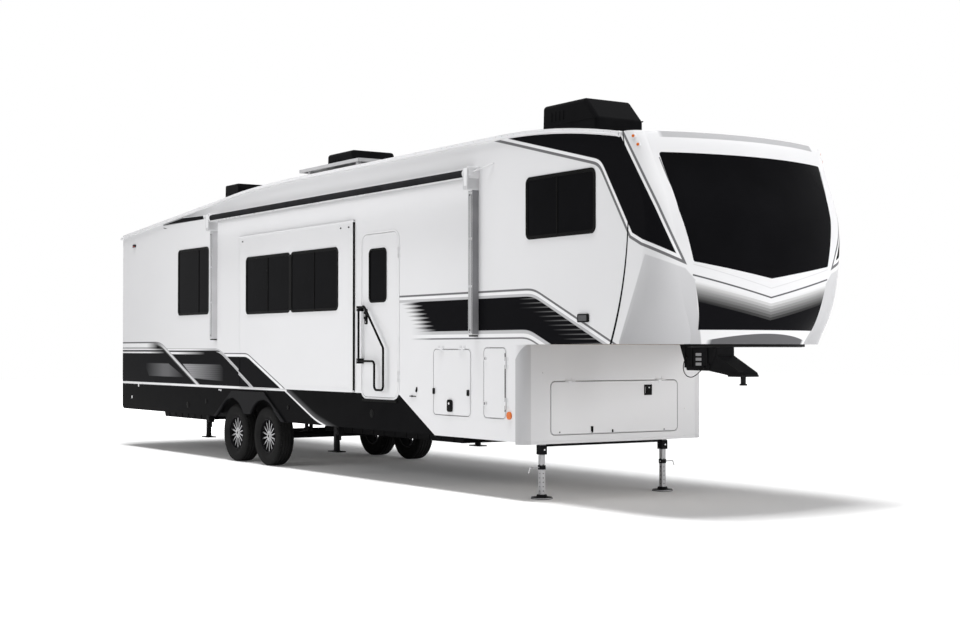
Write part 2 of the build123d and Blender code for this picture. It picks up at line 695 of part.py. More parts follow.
def axle(x):
    """Axle tube with its spindles."""
    hub_inner = WHEEL_Y - RIM_WIDTH / 2 + RIM_DISC_INSET + HUB_DEPTH
    tube_end = 2 * WHEEL_Y - hub_inner - WHEEL_GAP
    spindle_end = WHEEL_Y + RIM_WIDTH / 2 - RIM_DISC_INSET - HUB_CAP - WHEEL_GAP
    tube = Cylinder(AXLE_TUBE_RADIUS, 2 * tube_end) + Cylinder(SPINDLE_RADIUS, 2 * spindle_end)
    return Pos(x, 0, TYRE_RADIUS) * Rot(90, 0, 0) * tube


def rim():
    """Wheel centred on the origin, axis along Y, outer face to -Y."""
    turn = Rot(90, 0, 0)      # local +Z becomes -Y, the outside
    barrel = Cylinder(RIM_RADIUS, RIM_WIDTH) - Cylinder(RIM_RADIUS - RIM_BARREL, RIM_WIDTH + FAR)
    face = RIM_WIDTH / 2 - RIM_DISC_INSET
    disc = Pos(0, 0, face - RIM_DISC / 2) * Cylinder(RIM_RADIUS - RIM_BARREL / 2, RIM_DISC)
    step = 360 / SPOKE_COUNT
    gap_in = 2 * pi * SPOKE_ROOT / SPOKE_COUNT - SPOKE_WIDTH
    gap_out = 2 * pi * SPOKE_TIP / SPOKE_COUNT - SPOKE_WIDTH
    corners = [
        (SPOKE_ROOT, -gap_in / 2), (SPOKE_TIP, -gap_out / 2), (SPOKE_TIP, gap_out / 2), (SPOKE_ROOT, gap_in / 2)]
    window = make_face(Polyline(corners, close=True))
    cutter = Pos(0, 0, face - 2 * RIM_DISC) * extrude(window, amount=3 * RIM_DISC)
    disc -= [Rot(0, 0, i * step) * cutter for i in range(SPOKE_COUNT)]
    hub = Pos(0, 0, face - HUB_DEPTH / 2) * Cylinder(HUB_RADIUS, HUB_DEPTH)
    bore = Pos(0, 0, face - HUB_CAP - HUB_DEPTH / 2) * Cylinder(SPINDLE_RADIUS + BEARING_GAP, HUB_DEPTH)
    return turn * (barrel + disc + hub - bore)


def tyre():
    """Tyre ring with rounded shoulders and sidewalls, axis along Y."""
    w = TYRE_WIDTH / 2
    bead = RIM_WIDTH / 2
    tread = w - 2 * TYRE_SHOULDER
    middle = (RIM_RADIUS + TYRE_RADIUS) / 2
    shoulder = TYRE_RADIUS - TYRE_SHOULDER
    right = [
        ThreePointArc((RIM_RADIUS, bead, 0), (middle, w, 0), (shoulder, w - TYRE_SHOULDER, 0)),
        Line((shoulder, w - TYRE_SHOULDER, 0), (TYRE_RADIUS, tread, 0)),
    ]
    left = [
        Line((TYRE_RADIUS, -tread, 0), (shoulder, TYRE_SHOULDER - w, 0)),
        ThreePointArc((shoulder, TYRE_SHOULDER - w, 0), (middle, -w, 0), (RIM_RADIUS, -bead, 0)),
    ]
    across = Line((TYRE_RADIUS, tread, 0), (TYRE_RADIUS, -tread, 0))
    inside = Line((RIM_RADIUS, -bead, 0), (RIM_RADIUS, bead, 0))
    return revolve(make_face(right + [across] + left + [inside]), axis=Axis.Y)


def landing_legs():
    """Square legs in their outer tubes, each on a round pad."""
    leg = span(
        LEG_X - LEG_TUBE / 2, LEG_X + LEG_TUBE / 2, -RAIL_Y - LEG_TUBE / 2, -RAIL_Y + LEG_TUBE / 2,
        LEG_PAD_THICK, LEG_OUTER_BOTTOM)
    top = STORAGE_FLOOR_Z - STORAGE_FLOOR_THICK
    outer = span(
        LEG_X - LEG_OUTER / 2, LEG_X + LEG_OUTER / 2, -RAIL_Y - LEG_OUTER / 2, -RAIL_Y + LEG_OUTER / 2,
        LEG_OUTER_BOTTOM, top)
    pad = Pos(LEG_X, -RAIL_Y, LEG_PAD_THICK / 2) * Cylinder(LEG_PAD_RADIUS, LEG_PAD_THICK)
    return both(leg + outer + pad)


def leg_bar():
    """Drive bar between the two landing legs."""
    inside = RAIL_Y - LEG_OUTER / 2
    half = LEG_BAR / 2
    return span(LEG_X - half, LEG_X + half, -inside, inside, LEG_BAR_Z - half, LEG_BAR_Z + half)


def jacks():
    """Four raised stabilizer jacks with flat feet."""
    length, width, thick = JACK_FOOT
    parts = []
    for x in JACK_XS:
        foot = span(
            x - length / 2, x + length / 2, -JACK_Y - width / 2, -JACK_Y + width / 2,
            JACK_FOOT_Z, JACK_FOOT_Z + thick)
        tube = span(
            x - JACK_TUBE / 2, x + JACK_TUBE / 2, -JACK_Y - JACK_TUBE / 2, -JACK_Y + JACK_TUBE / 2,
            JACK_FOOT_Z + thick, RAIL_BOTTOM)
        parts.append(foot + tube)
    return both(Part() + parts)


def awning_roller():
    """Rolled awning between the heads of its arms."""
    rear, front = AWNING_ARM_XS
    length = front - rear - AWNING_HEAD[0]
    return Pos((rear + front) / 2, -AWNING_Y, AWNING_Z) * Rot(0, 90, 0) * Cylinder(AWNING_RADIUS, length)


def awning_arms():
    """Arms on the side wall with the castings that hold the roller."""
    width, above, below = AWNING_HEAD
    parts = []
    for x in AWNING_ARM_XS:
        arm = span(
            x - AWNING_ARM_WIDTH / 2, x + AWNING_ARM_WIDTH / 2, -HALF - AWNING_ARM_DEPTH, -HALF,
            AWNING_ARM_BOTTOM, AWNING_Z)
        head = side_slab(
            x - width / 2, x + width / 2, AWNING_Z - below, AWNING_Z + above,
            -AWNING_Y - AWNING_RADIUS, -HALF, width / 4)
        parts.append(arm + head)
    return Part() + parts


def pin_box():
    """Steel box that hangs under the nose and carries the kingpin's plate."""
    plate_top = PIN_PLATE_Z + PIN_PLATE_THICK
    plate = [(PIN_X + PIN_PLATE_HALF, plate_top), (PIN_X - PIN_PLATE_HALF, plate_top)]
    return side_profile([*PIN_BOX_FRONT, *plate, *PIN_BOX_REAR], -PIN_BOX_HALF, PIN_BOX_HALF)


def kingpin():
    """Bolster plate with the necked pin below it."""
    plate = span(
        PIN_X - PIN_PLATE_HALF, PIN_X + PIN_PLATE_HALF, -PIN_BOX_HALF, PIN_BOX_HALF,
        PIN_PLATE_Z, PIN_PLATE_Z + PIN_PLATE_THICK)
    neck = Pos(PIN_X, 0, PIN_PLATE_Z - PIN_LENGTH / 2) * Cylinder(PIN_NECK_RADIUS, PIN_LENGTH)
    lip = Pos(PIN_X, 0, PIN_PLATE_Z - PIN_LENGTH + PIN_LIP / 2) * Cylinder(PIN_LIP_RADIUS, PIN_LIP)
    return plate + neck + lip


def roof_unit(x0, x1, half, y, top, lean, slant, radius):
    """Housing with rounded edges that stands on the roof."""
    length, depth = slant
    outline = [(x0, REAR_TOP), (x0 + lean, top), (x1 - length, top), (x1, top - depth), (x1, REAR_TOP)]
    block = side_profile(outline, y - half, y + half)
    base = block.edges().group_by(Axis.Z)[0]
    block = fillet(block.edges() - base, radius)
    return block - body_region(-HALF, HALF) - roof()


def rear_bumper():
    half = HALF - BUMPER_INSET
    return span(REAR_X - BUMPER, REAR_X, -half, half, BUMPER_BOTTOM, BUMPER_BOTTOM + BUMPER)


def marker_lamps():
    """Round amber lamp low on each side, near the front."""
    place = Pos(MARKER_X, -HALF - MARKER_PROUD / 2, MARKER_Z) * Rot(90, 0, 0)
    return both(place * Cylinder(MARKER_RADIUS, MARKER_PROUD))


def tail_lamps():
    """Upright red lamps on the rear wall."""
    y = HALF - TAIL_INSET
    return both(span(REAR_X - TAIL_PROUD, REAR_X, -y - TAIL_HALF, -y + TAIL_HALF, TAIL_BOTTOM, TAIL_TOP))


def side_names():
    """Name of each side with what places a shape made for the door side."""
    return (("door_side", lambda shape: shape), ("off_side", mirrored))


def save_shell():
    wall = side_wall()
    panel = skirt()
    save("door_side_wall", wall - door_hole())
    save("off_side_wall", mirrored(wall))
    save("door_side_skirt", panel - door_hole())
    save("off_side_skirt", mirrored(panel))
    save("rear_skirt", rear_skirt())
    save("rear_wall", rear_wall())
    save("roof", roof())
    save("main_floor", main_floor())
    save("storage_floor", storage_floor())
    save("bulkhead", bulkhead())
    save("bedroom_floor", neck_floor())
    save("front_cap", front_cap())
    save("windshield", windshield())
    save("lower_front_cap", lower_front_cap())
    ring, pane = rear_window()
    save("wall_window_frames", both(row(window_ring, WALL_WINDOWS, -HALF)) + ring)
    save("wall_window_glass", both(row(window_pane, WALL_WINDOWS, -HALF)) + pane)


def save_slide_outs():
    room = slide_room()
    rings = row(window_ring, SLIDE_WINDOWS, FASCIA_Y)
    panes = row(window_pane, SLIDE_WINDOWS, FASCIA_Y)
    for side, place in side_names():
        save(f"{side}_slide_room", place(room))
        save(f"{side}_slide_window_frames", place(rings))
        save(f"{side}_slide_window_glass", place(panes))
    save("slide_runners", slide_runners())


def hinge_pair(points, outward, along):
    """Moving and fixed halves of the hinges at the given points."""
    moving = []
    fixed = []
    for point in points:
        moving += hinge(point, outward, along, False)
        fixed += hinge(point, outward, along, True)
    return moving, fixed


def save_doors():
    axis_y = -HALF - HINGE_OUT
    low, high = DOOR_BOTTOM + DOOR_HINGE_INSET, DOOR_TOP - DOOR_HINGE_INSET
    points = [(DOOR_FRONT_X, axis_y, z) for z in (low, high)]
    moving, entry_fixed = hinge_pair(points, (0, -1, 0), (0, 0, 1))
    save("entry_door", entry_door() + moving)
    save("entry_door_window_frame", window_ring(*DOOR_WINDOW, DOOR_Y))
    save("entry_door_glass", window_pane(*DOOR_WINDOW, DOOR_Y))
    save("entry_door_latch", door_latch())
    save("grab_handle", grab_handle())

    rear_x, front_x, low, high = LARGE_DOOR
    points = [(x, axis_y, high) for x in (rear_x + BAGGAGE_HINGE_INSET, front_x - BAGGAGE_HINGE_INSET)]
    moving, large_fixed = hinge_pair(points, (0, -1, 0), (-1, 0, 0))
    large = baggage_door(*LARGE_DOOR, LARGE_LATCHES) + moving

    rear_x, front_x, low, high = NARROW_DOOR
    points = [(front_x, axis_y, z) for z in (low + BAGGAGE_HINGE_INSET, high - BAGGAGE_HINGE_INSET)]
    moving, narrow_fixed = hinge_pair(points, (0, -1, 0), (0, 0, 1))
    narrow = baggage_door(*NARROW_DOOR, NARROW_LATCHES) + moving
    for side, place in side_names():
        save(f"{side}_large_baggage_door", place(large))
        save(f"{side}_narrow_baggage_door", place(narrow))

    inset, low, high = FRONT_DOOR
    y = HALF - inset - FRONT_HINGE_INSET
    moving, front_fixed = hinge_pair(
        [(FRONT_X + HINGE_OUT, -y, high), (FRONT_X + HINGE_OUT, y, high)], (1, 0, 0), (0, -1, 0))
    save("front_baggage_door", front_door() + moving)
    save("door_hinges", both(Part() + large_fixed + narrow_fixed) + entry_fixed + front_fixed)


def save_running_gear():
    save("chassis_rails", chassis_rails())
    save("cross_members", cross_members())
    save("spring_hangers", spring_hangers())
    save("leaf_springs", leaf_springs())
    save("rear_bumper", rear_bumper())
    save("axles", Part() + [axle(x) for x in AXLE_XS])
    for name, x in zip(("rear", "front"), AXLE_XS):
        for label, side, turn in (("door_side", -1, 0), ("off_side", 1, 180)):
            place = Pos(x, side * WHEEL_Y, TYRE_RADIUS) * Rot(0, 0, turn)
            save(f"{label}_{name}_tyre", place * tyre())
            save(f"{label}_{name}_rim", place * rim())
    save("landing_legs", landing_legs())
    save("landing_leg_bar", leg_bar())
    save("stabilizer_jacks", jacks())


def save_fittings():
    save("awning_roller", awning_roller())
    save("awning_arms", awning_arms())
    save("pin_box", pin_box())
    save("kingpin", kingpin())
    save("marker_lamps", marker_lamps())
    save("tail_lamps", tail_lamps())
    for name, *sizes in ROOF_UNITS:
        save(name, roof_unit(*sizes))


os.makedirs("parts", exist_ok=True)
save_shell()
save_slide_outs()
save_doors()
save_running_gear()
save_fittings()
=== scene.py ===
import bmesh
import bpy
import json
import math
from mathutils import Matrix, Vector

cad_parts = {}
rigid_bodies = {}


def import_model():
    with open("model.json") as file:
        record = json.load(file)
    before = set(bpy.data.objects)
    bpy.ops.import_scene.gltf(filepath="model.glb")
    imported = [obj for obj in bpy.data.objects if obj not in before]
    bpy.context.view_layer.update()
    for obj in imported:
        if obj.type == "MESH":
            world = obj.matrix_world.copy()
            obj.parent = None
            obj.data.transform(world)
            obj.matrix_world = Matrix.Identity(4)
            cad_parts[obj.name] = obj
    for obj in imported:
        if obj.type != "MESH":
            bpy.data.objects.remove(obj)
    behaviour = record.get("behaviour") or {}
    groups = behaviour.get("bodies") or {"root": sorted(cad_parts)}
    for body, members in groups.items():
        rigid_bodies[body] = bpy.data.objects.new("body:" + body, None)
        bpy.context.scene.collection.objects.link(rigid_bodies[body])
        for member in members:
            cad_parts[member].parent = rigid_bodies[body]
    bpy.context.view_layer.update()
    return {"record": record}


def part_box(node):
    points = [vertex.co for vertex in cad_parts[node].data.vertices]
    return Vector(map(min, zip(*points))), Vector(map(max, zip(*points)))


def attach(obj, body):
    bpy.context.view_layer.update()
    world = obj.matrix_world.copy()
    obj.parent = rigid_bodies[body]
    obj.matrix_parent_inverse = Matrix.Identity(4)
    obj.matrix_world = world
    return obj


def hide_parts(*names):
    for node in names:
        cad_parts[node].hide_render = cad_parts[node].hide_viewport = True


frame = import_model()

# Fifth wheel travel trailer: finish of every surface and the small parts, in metres.
# +X runs forward to the kingpin, +Y to the off side, +Z up. The door side is -Y.


def grey(value, blue=0.0):
    """Grey with a slight cast of blue."""
    return (value, value, value + blue)


BLACK = grey(0.006, 0.001)
INK = grey(0.10, 0.005)
LINE_GREY = grey(0.16, 0.005)
SILVER = grey(0.42, 0.01)
DULL = grey(0.48, 0.01)
PALE = grey(0.62, 0.01)
WHITE = grey(0.80, 0.01)

# Camera: place, lens, and its turn and tilt in degrees
CAMERA_PLACE = (17.043, -10.141, 1.534)
CAMERA_LENS = 57.49
CAMERA_YAW, CAMERA_PITCH = 146.25, 1.115
# Lamps: name, place, size, power, and the point that each faces
LAMPS = (
    ("top", (2.5, -5.6, 36.0), (16.0, 8.0), 13200, (1.0, -0.3, 0.0)),
    ("side", (-0.5, -9.5, 4.2), (7.0, 3.0), 240, (0.0, 0.0, 2.2)),
    ("front", (20.0, 6.0, 3.5), (8.0, 5.0), 1400, (5.0, 0.0, 2.0)),
)
WORLD_STRENGTH = 0.31
FLOOR_REACH = 60.0
FLOOR_GLOW = 0.05          # how much the floor by the trailer glows for the eye alone
FLOOR_GLOW_RISE = (6.9, 9.5)   # it rises to white between these distances from the middle

# Faces of the CAD model that small parts stand on
SIDES = (("door_side", -1), ("off_side", 1))
SIDE_Y = 1.22              # side walls, from the middle
SLIDE_Y = 1.247            # slide-outs
BAGGAGE_Y = 1.237          # latches of the baggage doors
FRONT_X = 4.437            # front storage door
REAR_X = -6.645            # rear wall
CAP_JOINT_X = 6.055        # top of the joint between wall and cap
AXLE_XS = (-2.432, -1.452)
WHEEL_Y, WHEEL_Z = 1.0775, 0.391
ROOF_LEVEL = 3.745
# Roof edge seen from the side: arcs through three points; it is level between the last two
ROOF_LINE = (
    ((REAR_X, 3.373), (-4.415, 3.535), (-2.215, 3.700)),
    ((-2.215, 3.700), (-1.335, 3.73375), (-0.455, ROOF_LEVEL)),
    ((4.065, ROOF_LEVEL), (5.085, 3.692), (CAP_JOINT_X, 3.548)),
)

# Lower graphics: three outlines that bend from level to a slant. Each is given as its level
# height, two points on the slant, and the smoothing of its bend.
REAR_SHAPE = (1.657, (-4.812, 1.553), (-3.572, 1.031), 0.11)
MID_SHAPE = (1.558, (-2.803, 1.514), (-1.745, 1.042), 0.12)
FRONT_SHAPE = (1.491, (-1.853, 1.461), (-0.810, 1.045), 0.050)
REAR_PATCH = ((-5.710, 1.331), (-5.523, 1.133), (-4.126, 1.133), (-4.740, 1.328), (-5.710, 1.331))
MID_PATCH = ((-4.195, 1.326), (-3.798, 1.124), (-2.386, 1.085), (-2.862, 1.326), (-4.195, 1.326))
PINSTRIPE = (1.000, 1.033)
PINSTRIPE_END = -0.80
# Slanted line on the skirt, from its top to its tail
SKIRT_LINE = ((-0.886, 1.023), (-0.013, 0.665), (0.170, 0.620))
# Graphic behind the entry door
WAIST_TOP = (2.149, (4.911, 2.039), (5.887, 1.621), 0.070)
WAIST_LOW = (1.735, (4.690, 1.689), (4.887, 1.611), 0.060)
WAIST_START = ((2.379, 1.749), (2.058, 2.061))
STREAK_PITCH = 0.0453
# Dark corner over the front window, in x less the distance from the middle, and height
CORNER_ROOF_LINE = ((2.970, 3.695), (4.383, 3.351))
CORNER_SLANT = ((4.553, 3.256), (4.890, 2.730))
CORNER_LOW = ((4.917, 2.629), (5.118, 2.535), (5.556, 2.400))
CORNER_FRONT = ((5.556, 2.400), (5.453, 2.576), (5.286, 2.818), (4.962, 3.327), (4.800, 3.534))
# Field of painted shade on the cap's side, in the same coordinates
CAP_SIDE_SHADE = ((4.767, 1.580), (5.840, 1.580), (5.785, 2.165), (5.660, 2.270), (5.150, 2.400), (4.767, 1.580))
# Seam between wall and cap, an arc seen from the side
SEAM = ((CAP_JOINT_X, 3.548), (6.125, 2.580), (5.875, 1.587))
# Dark wedge under the roof near the rear, the line over it, and the stripe under the roof
WEDGE = ((-4.976, 3.425), (-3.452, 3.410), (-3.485, 3.462), (-4.210, 3.481), (-4.976, 3.425))
WEDGE_LINE = ((-4.210, 3.474), (-3.0, 3.434), (-3.0, 3.448), (-4.210, 3.488), (-4.210, 3.474))
ROOF_STRIPE = (
    (-5.097, 3.418), (-4.90, 3.364), (3.0, 3.364), (3.0, 3.387), (-4.93, 3.387), (-5.097, 3.418))
# Panel under the windshield: distance from the middle, height
PANEL_SIDE = ((0.726, 1.716), (0.845, 2.190))
PANEL_LOW = 1.716
PANEL_TOP, PANEL_RISE, PANEL_DEPTH = 1.989, 0.205, 0.182
PANEL_STEP = 0.026
PANEL_SHADES = ((0.18, 0.50), (0.40, 0.28), (0.62, 0.15), (0.82, 0.06))   # depth, grey
SHIELD_EDGE = ((0.888, 2.333), (0.946, 2.647), (1.006, 3.084), (1.050, 3.290))


def operation(name, swapped=False):
    """Method of a value that adds one math node."""
    def apply(self, *others):
        values = (*others, self) if swapped else (self, *others)
        return self.nodes.math(name, *values)
    return apply


class Value:
    """A socket of a node tree, which takes part in plain arithmetic."""

    __abs__ = operation("ABSOLUTE")
    __add__ = operation("ADD")
    __sub__ = operation("SUBTRACT")
    __rsub__ = operation("SUBTRACT", swapped=True)
    __mul__ = operation("MULTIPLY")
    __truediv__ = operation("DIVIDE")

    def __init__(self, nodes, socket):
        self.nodes = nodes
        self.socket = socket

    def ranged(self, low, high, to_low, to_high):
        node = self.nodes.add("ShaderNodeMapRange")
        self.nodes.feed_all(node, self, low, high, to_low, to_high)
        return Value(self.nodes, node.outputs[0])

    def rise(self, low, high, top=1.0):
        return self.ranged(low, high, 0.0, top)

    def fall(self, low, high, top=1.0):
        return self.ranged(low, high, top, 0.0)

    def over(self, low=0.0, soft=0.002):
        """One where the value is above a limit, with a soft edge."""
        return self.rise(low - soft, low + soft)

    def under(self, high, soft=0.002):
        return self.fall(high - soft, high + soft)

    def band(self, low, high):
        return self.over(low) * self.under(high)

    def wave(self, pitch, phase=0.0):
        """Rises and falls between 0 and 1 once in every pitch."""
        turn = (self - phase) * (2 * math.pi / pitch)
        return self.nodes.math("COSINE", turn) * 0.5 + 0.5

    def left(self, start, end):
        """Distance of a flat place to the left of the line from start to end."""
        dx, dz = end[0] - start[0], end[1] - start[1]
        length = math.hypot(dx, dz)
        nx, nz = -dz / length, dx / length
        return self.nodes.vector("DOT_PRODUCT", self, (nx, -nx * start[0] - nz * start[1], nz))

    def inside(self, chain):
        """Distance to the left of every line of a chain: how far inside a convex outline."""
        return self.nodes.least([self.left(a, b) for a, b in zip(chain, chain[1:])])


class Nodes:
    """A node tree, built with short calls that return values."""

    def __init__(self, tree):
        self.tree = tree

    def add(self, kind, **settings):
        node = self.tree.nodes.new(kind)
        for name, value in settings.items():
            setattr(node, name, value)
        return node

    def feed(self, socket, value):
        """Link a value or a socket, or set a plain number or colour."""
        if isinstance(value, Value):
            value = value.socket
        if isinstance(value, bpy.types.NodeSocket):
            self.tree.links.new(value, socket)
        elif isinstance(value, tuple) and len(value) == 3 and len(socket.default_value) == 4:
            socket.default_value = (*value, 1.0)
        else:
            socket.default_value = value

    def feed_all(self, node, *values):
        for socket, value in zip(node.inputs, values):
            self.feed(socket, value)

    def math(self, operation, *values):
        node = self.add("ShaderNodeMath", operation=operation)
        self.feed_all(node, *values)
        return Value(self, node.outputs[0])

    def vector(self, operation, *values):
        node = self.add("ShaderNodeVectorMath", operation=operation)
        self.feed_all(node, *values)
        return Value(self, node.outputs["Value"])

    def place(self, across, up):
        """Flat coordinates for line distances: across, one, up."""
        node = self.add("ShaderNodeCombineXYZ")
        self.feed_all(node, across, 1.0, up)
        return Value(self, node.outputs[0])

    def least(self, values):
        result = values[0]
        for value in values[1:]:
            result = self.math("MINIMUM", result, value)
        return result

    def mix(self, factor, low, high):
        node = self.add("ShaderNodeMix", data_type="RGBA")
        for index, value in ((0, factor), (6, low), (7, high)):
            self.feed(node.inputs[index], value)
        return Value(self, node.outputs[2])

    def seen(self, *rays):
        """One for the camera's rays and for the other kinds that are named."""
        path = self.add("ShaderNodeLightPath")
        result = path.outputs["Is Camera Ray"]
        for ray in rays:
            result = self.math("MAXIMUM", result, path.outputs[ray])
        return result


class Paint(Nodes):
    """One material. Its colour is what has been painted so far."""

    def __init__(self, name, rough=0.4, metal=0.0, coat=0.0, shine=0.02):
        self.material = bpy.data.materials.new(name)
        self.material.use_nodes = True
        super().__init__(self.material.node_tree)
        self.tree.nodes.clear()
        self.output = self.add("ShaderNodeOutputMaterial")
        self.shader = self.add("ShaderNodeBsdfPrincipled")
        self.feed(self.output.inputs[0], self.shader.outputs[0])
        self.set("Roughness", rough)
        self.set("Metallic", metal)
        self.set("Coat Weight", coat)
        self.set("Specular IOR Level", shine)
        where = self.add("ShaderNodeTexCoord")
        self.point = where.outputs["Object"]
        self.normal = where.outputs["Normal"]
        self.colour = WHITE

    def set(self, name, value):
        self.feed(self.shader.inputs[name], value)

    def axes(self, vector=None):
        node = self.add("ShaderNodeSeparateXYZ")
        self.feed(node.inputs[0], vector or self.point)
        return [Value(self, socket) for socket in node.outputs]

    def noise(self, scale, detail=3.0, stretch=None):
        node = self.add("ShaderNodeTexNoise")
        self.feed(node.inputs["Scale"], scale)
        self.feed(node.inputs["Detail"], detail)
        place = self.point
        if stretch:
            mapping = self.add("ShaderNodeMapping")
            self.feed(mapping.inputs["Vector"], place)
            self.feed(mapping.inputs["Scale"], stretch)
            place = mapping.outputs[0]
        self.feed(node.inputs["Vector"], place)
        return Value(self, node.outputs["Fac"])

    def bump(self, height, distance, strength):
        node = self.add("ShaderNodeBump")
        for name, value in (("Height", height), ("Distance", distance), ("Strength", strength)):
            self.feed(node.inputs[name], value)
        self.set("Normal", node.outputs[0])

    def lay(self, shade, mask):
        """Cover the colour with a shade where the mask is one."""
        self.colour = self.mix(mask, self.colour, shade)

    def done(self):
        self.set("Base Color", self.colour)
        return self.material


def camera():
    """Camera at the photograph's place and angle."""
    lens = bpy.data.cameras.new("camera")
    lens.lens = CAMERA_LENS
    lens.sensor_width = 36.0
    lens.clip_end = 200.0
    view = bpy.data.objects.new("camera", lens)
    bpy.context.scene.collection.objects.link(view)
    view.location = CAMERA_PLACE
    view.rotation_euler = (math.radians(90 + CAMERA_PITCH), 0.0, math.radians(CAMERA_YAW - 90))
    bpy.context.scene.camera = view


def soft_light(name, place, size, power, aim):
    light = bpy.data.lights.new(name, "AREA")
    light.shape = "RECTANGLE"
    light.size, light.size_y = size
    light.energy = power
    lamp = bpy.data.objects.new(name, light)
    bpy.context.scene.collection.objects.link(lamp)
    lamp.location = place
    direction = Vector(aim) - Vector(place)
    lamp.rotation_euler = direction.to_track_quat("-Z", "Y").to_euler()
    lamp.visible_glossy = False


def sky():
    """Even pale light; what the camera and reflections see of it is white."""
    world = bpy.data.worlds.new("studio")
    bpy.context.scene.world = world
    world.use_nodes = True
    nodes = Nodes(world.node_tree)
    shade = nodes.tree.nodes["Background"]
    nodes.feed_all(shade, WHITE, WORLD_STRENGTH)
    white = nodes.add("ShaderNodeBackground")
    nodes.feed_all(white, grey(1.0))
    blend = nodes.add("ShaderNodeMixShader")
    seen = nodes.seen("Is Glossy Ray", "Is Transmission Ray")
    nodes.feed_all(blend, seen, shade.outputs[0], white.outputs[0])
    nodes.feed(nodes.tree.nodes["World Output"].inputs[0], blend.outputs[0])


def floor():
    """White floor that keeps the shadow near the trailer and turns into the background further out."""
    far = FLOOR_REACH
    mesh = bpy.data.meshes.new("floor")
    mesh.from_pydata([(-far, -far, 0), (far, -far, 0), (far, far, 0), (-far, far, 0)], [], [(0, 1, 2, 3)])
    ground = bpy.data.objects.new("floor", mesh)
    bpy.context.scene.collection.objects.link(ground)
    paint = Paint("floor", rough=0.95)
    paint.colour = paint.mix(paint.noise(0.8), grey(0.94), grey(0.96))
    glow = paint.add("ShaderNodeEmission")
    strength = paint.vector("LENGTH", paint.point).ranged(*FLOOR_GLOW_RISE, FLOOR_GLOW, 1.0)
    paint.feed(glow.inputs["Strength"], paint.seen("Is Glossy Ray") * strength)
    total = paint.add("ShaderNodeAddShader")
    paint.feed_all(total, paint.shader.outputs[0], glow.outputs[0])
    paint.feed(paint.output.inputs[0], total.outputs[0])
    mesh.materials.append(paint.done())


def stage():
    """White floor and world, and the lamps."""
    bpy.context.scene.view_settings.view_transform = "Standard"
    sky()
    floor()
    for lamp in LAMPS:
        soft_light(*lamp)


def bend(place, shape):
    """Distance under and behind an outline that is level and then slants down to the front."""
    level, high, low, smooth = shape
    return place.nodes.math(
        "SMOOTH_MIN", place.left((0.0, level), (-1.0, level)), place.left(low, high), smooth)


def pinstripe(x, z):
    """White line along the top of the skirt, up to the slanted line."""
    return z.band(*PINSTRIPE) * x.under(PINSTRIPE_END)


def lower_graphics(paint, x, z, place):
    """Three overlapping dark shapes with pale outlines over the skirt."""
    above = z.over(PINSTRIPE[1])
    front = bend(place, FRONT_SHAPE)
    for reach, shade in ((0.0, LINE_GREY), (0.015, WHITE), (0.051, BLACK)):
        paint.lay(shade, front.over(reach) * above * x.over(-2.75, 0.05))

    middle = bend(place, MID_SHAPE)
    bright = paint.mix(x.rise(-3.9, -3.2), WHITE, SILVER)
    for shade, mask in (
            (SILVER, middle.over()), (PALE, middle.over(0.006)),
            (bright, middle.band(0.014, 0.040)), (BLACK, middle.over(0.045))):
        paint.lay(shade, mask * above)
    paint.lay(BLACK, z.band(1.508, 1.524) * middle.over(0.02) * x.over(-4.75))
    line = paint.mix(x.fall(-4.40, -3.40), BLACK, WHITE)
    paint.lay(line, z.band(1.469, 1.503) * middle.over(0.052))
    rows = z.wave(0.030).ranged(0.2, 0.8, 0.82, 1.0)
    silver = place.inside(MID_PATCH).over(0.0, 0.006) * x.fall(-4.2, -2.75) * rows
    paint.lay(grey(0.36, 0.01), silver * x.over(-4.7))

    rear = bend(place, REAR_SHAPE)
    paint.lay(BLACK, rear.over() * above)
    end = x.fall(-5.62, -5.18)
    half = x.fall(-5.5, -4.9)
    for low, high, shade, reach in (
            (1.574, 1.637, WHITE, end), (1.545, 1.574, SILVER, end),
            (1.530, 1.549, WHITE, half), (1.483, 1.506, WHITE, half)):
        paint.lay(shade, z.band(low, high) * reach)
    swell = x.rise(-5.66, -4.95) * x.fall(-4.75, -4.15)
    grain = x.wave(0.022).ranged(0.0, 1.0, 0.85, 1.0)
    paint.lay(grey(0.14, 0.005), place.inside(REAR_PATCH).over(0.0, 0.006) * swell * grain)
    paint.lay(LINE_GREY, rear.band(0.0, 0.020) * above)
    for low, high, shade in ((0.0, 0.016, SILVER), (0.014, 0.048, PALE), (0.048, 0.066, grey(0.09))):
        paint.lay(shade, rear.band(low, high) * above * x.rise(-5.30, -4.90))
    paint.lay(WHITE, pinstripe(x, z))


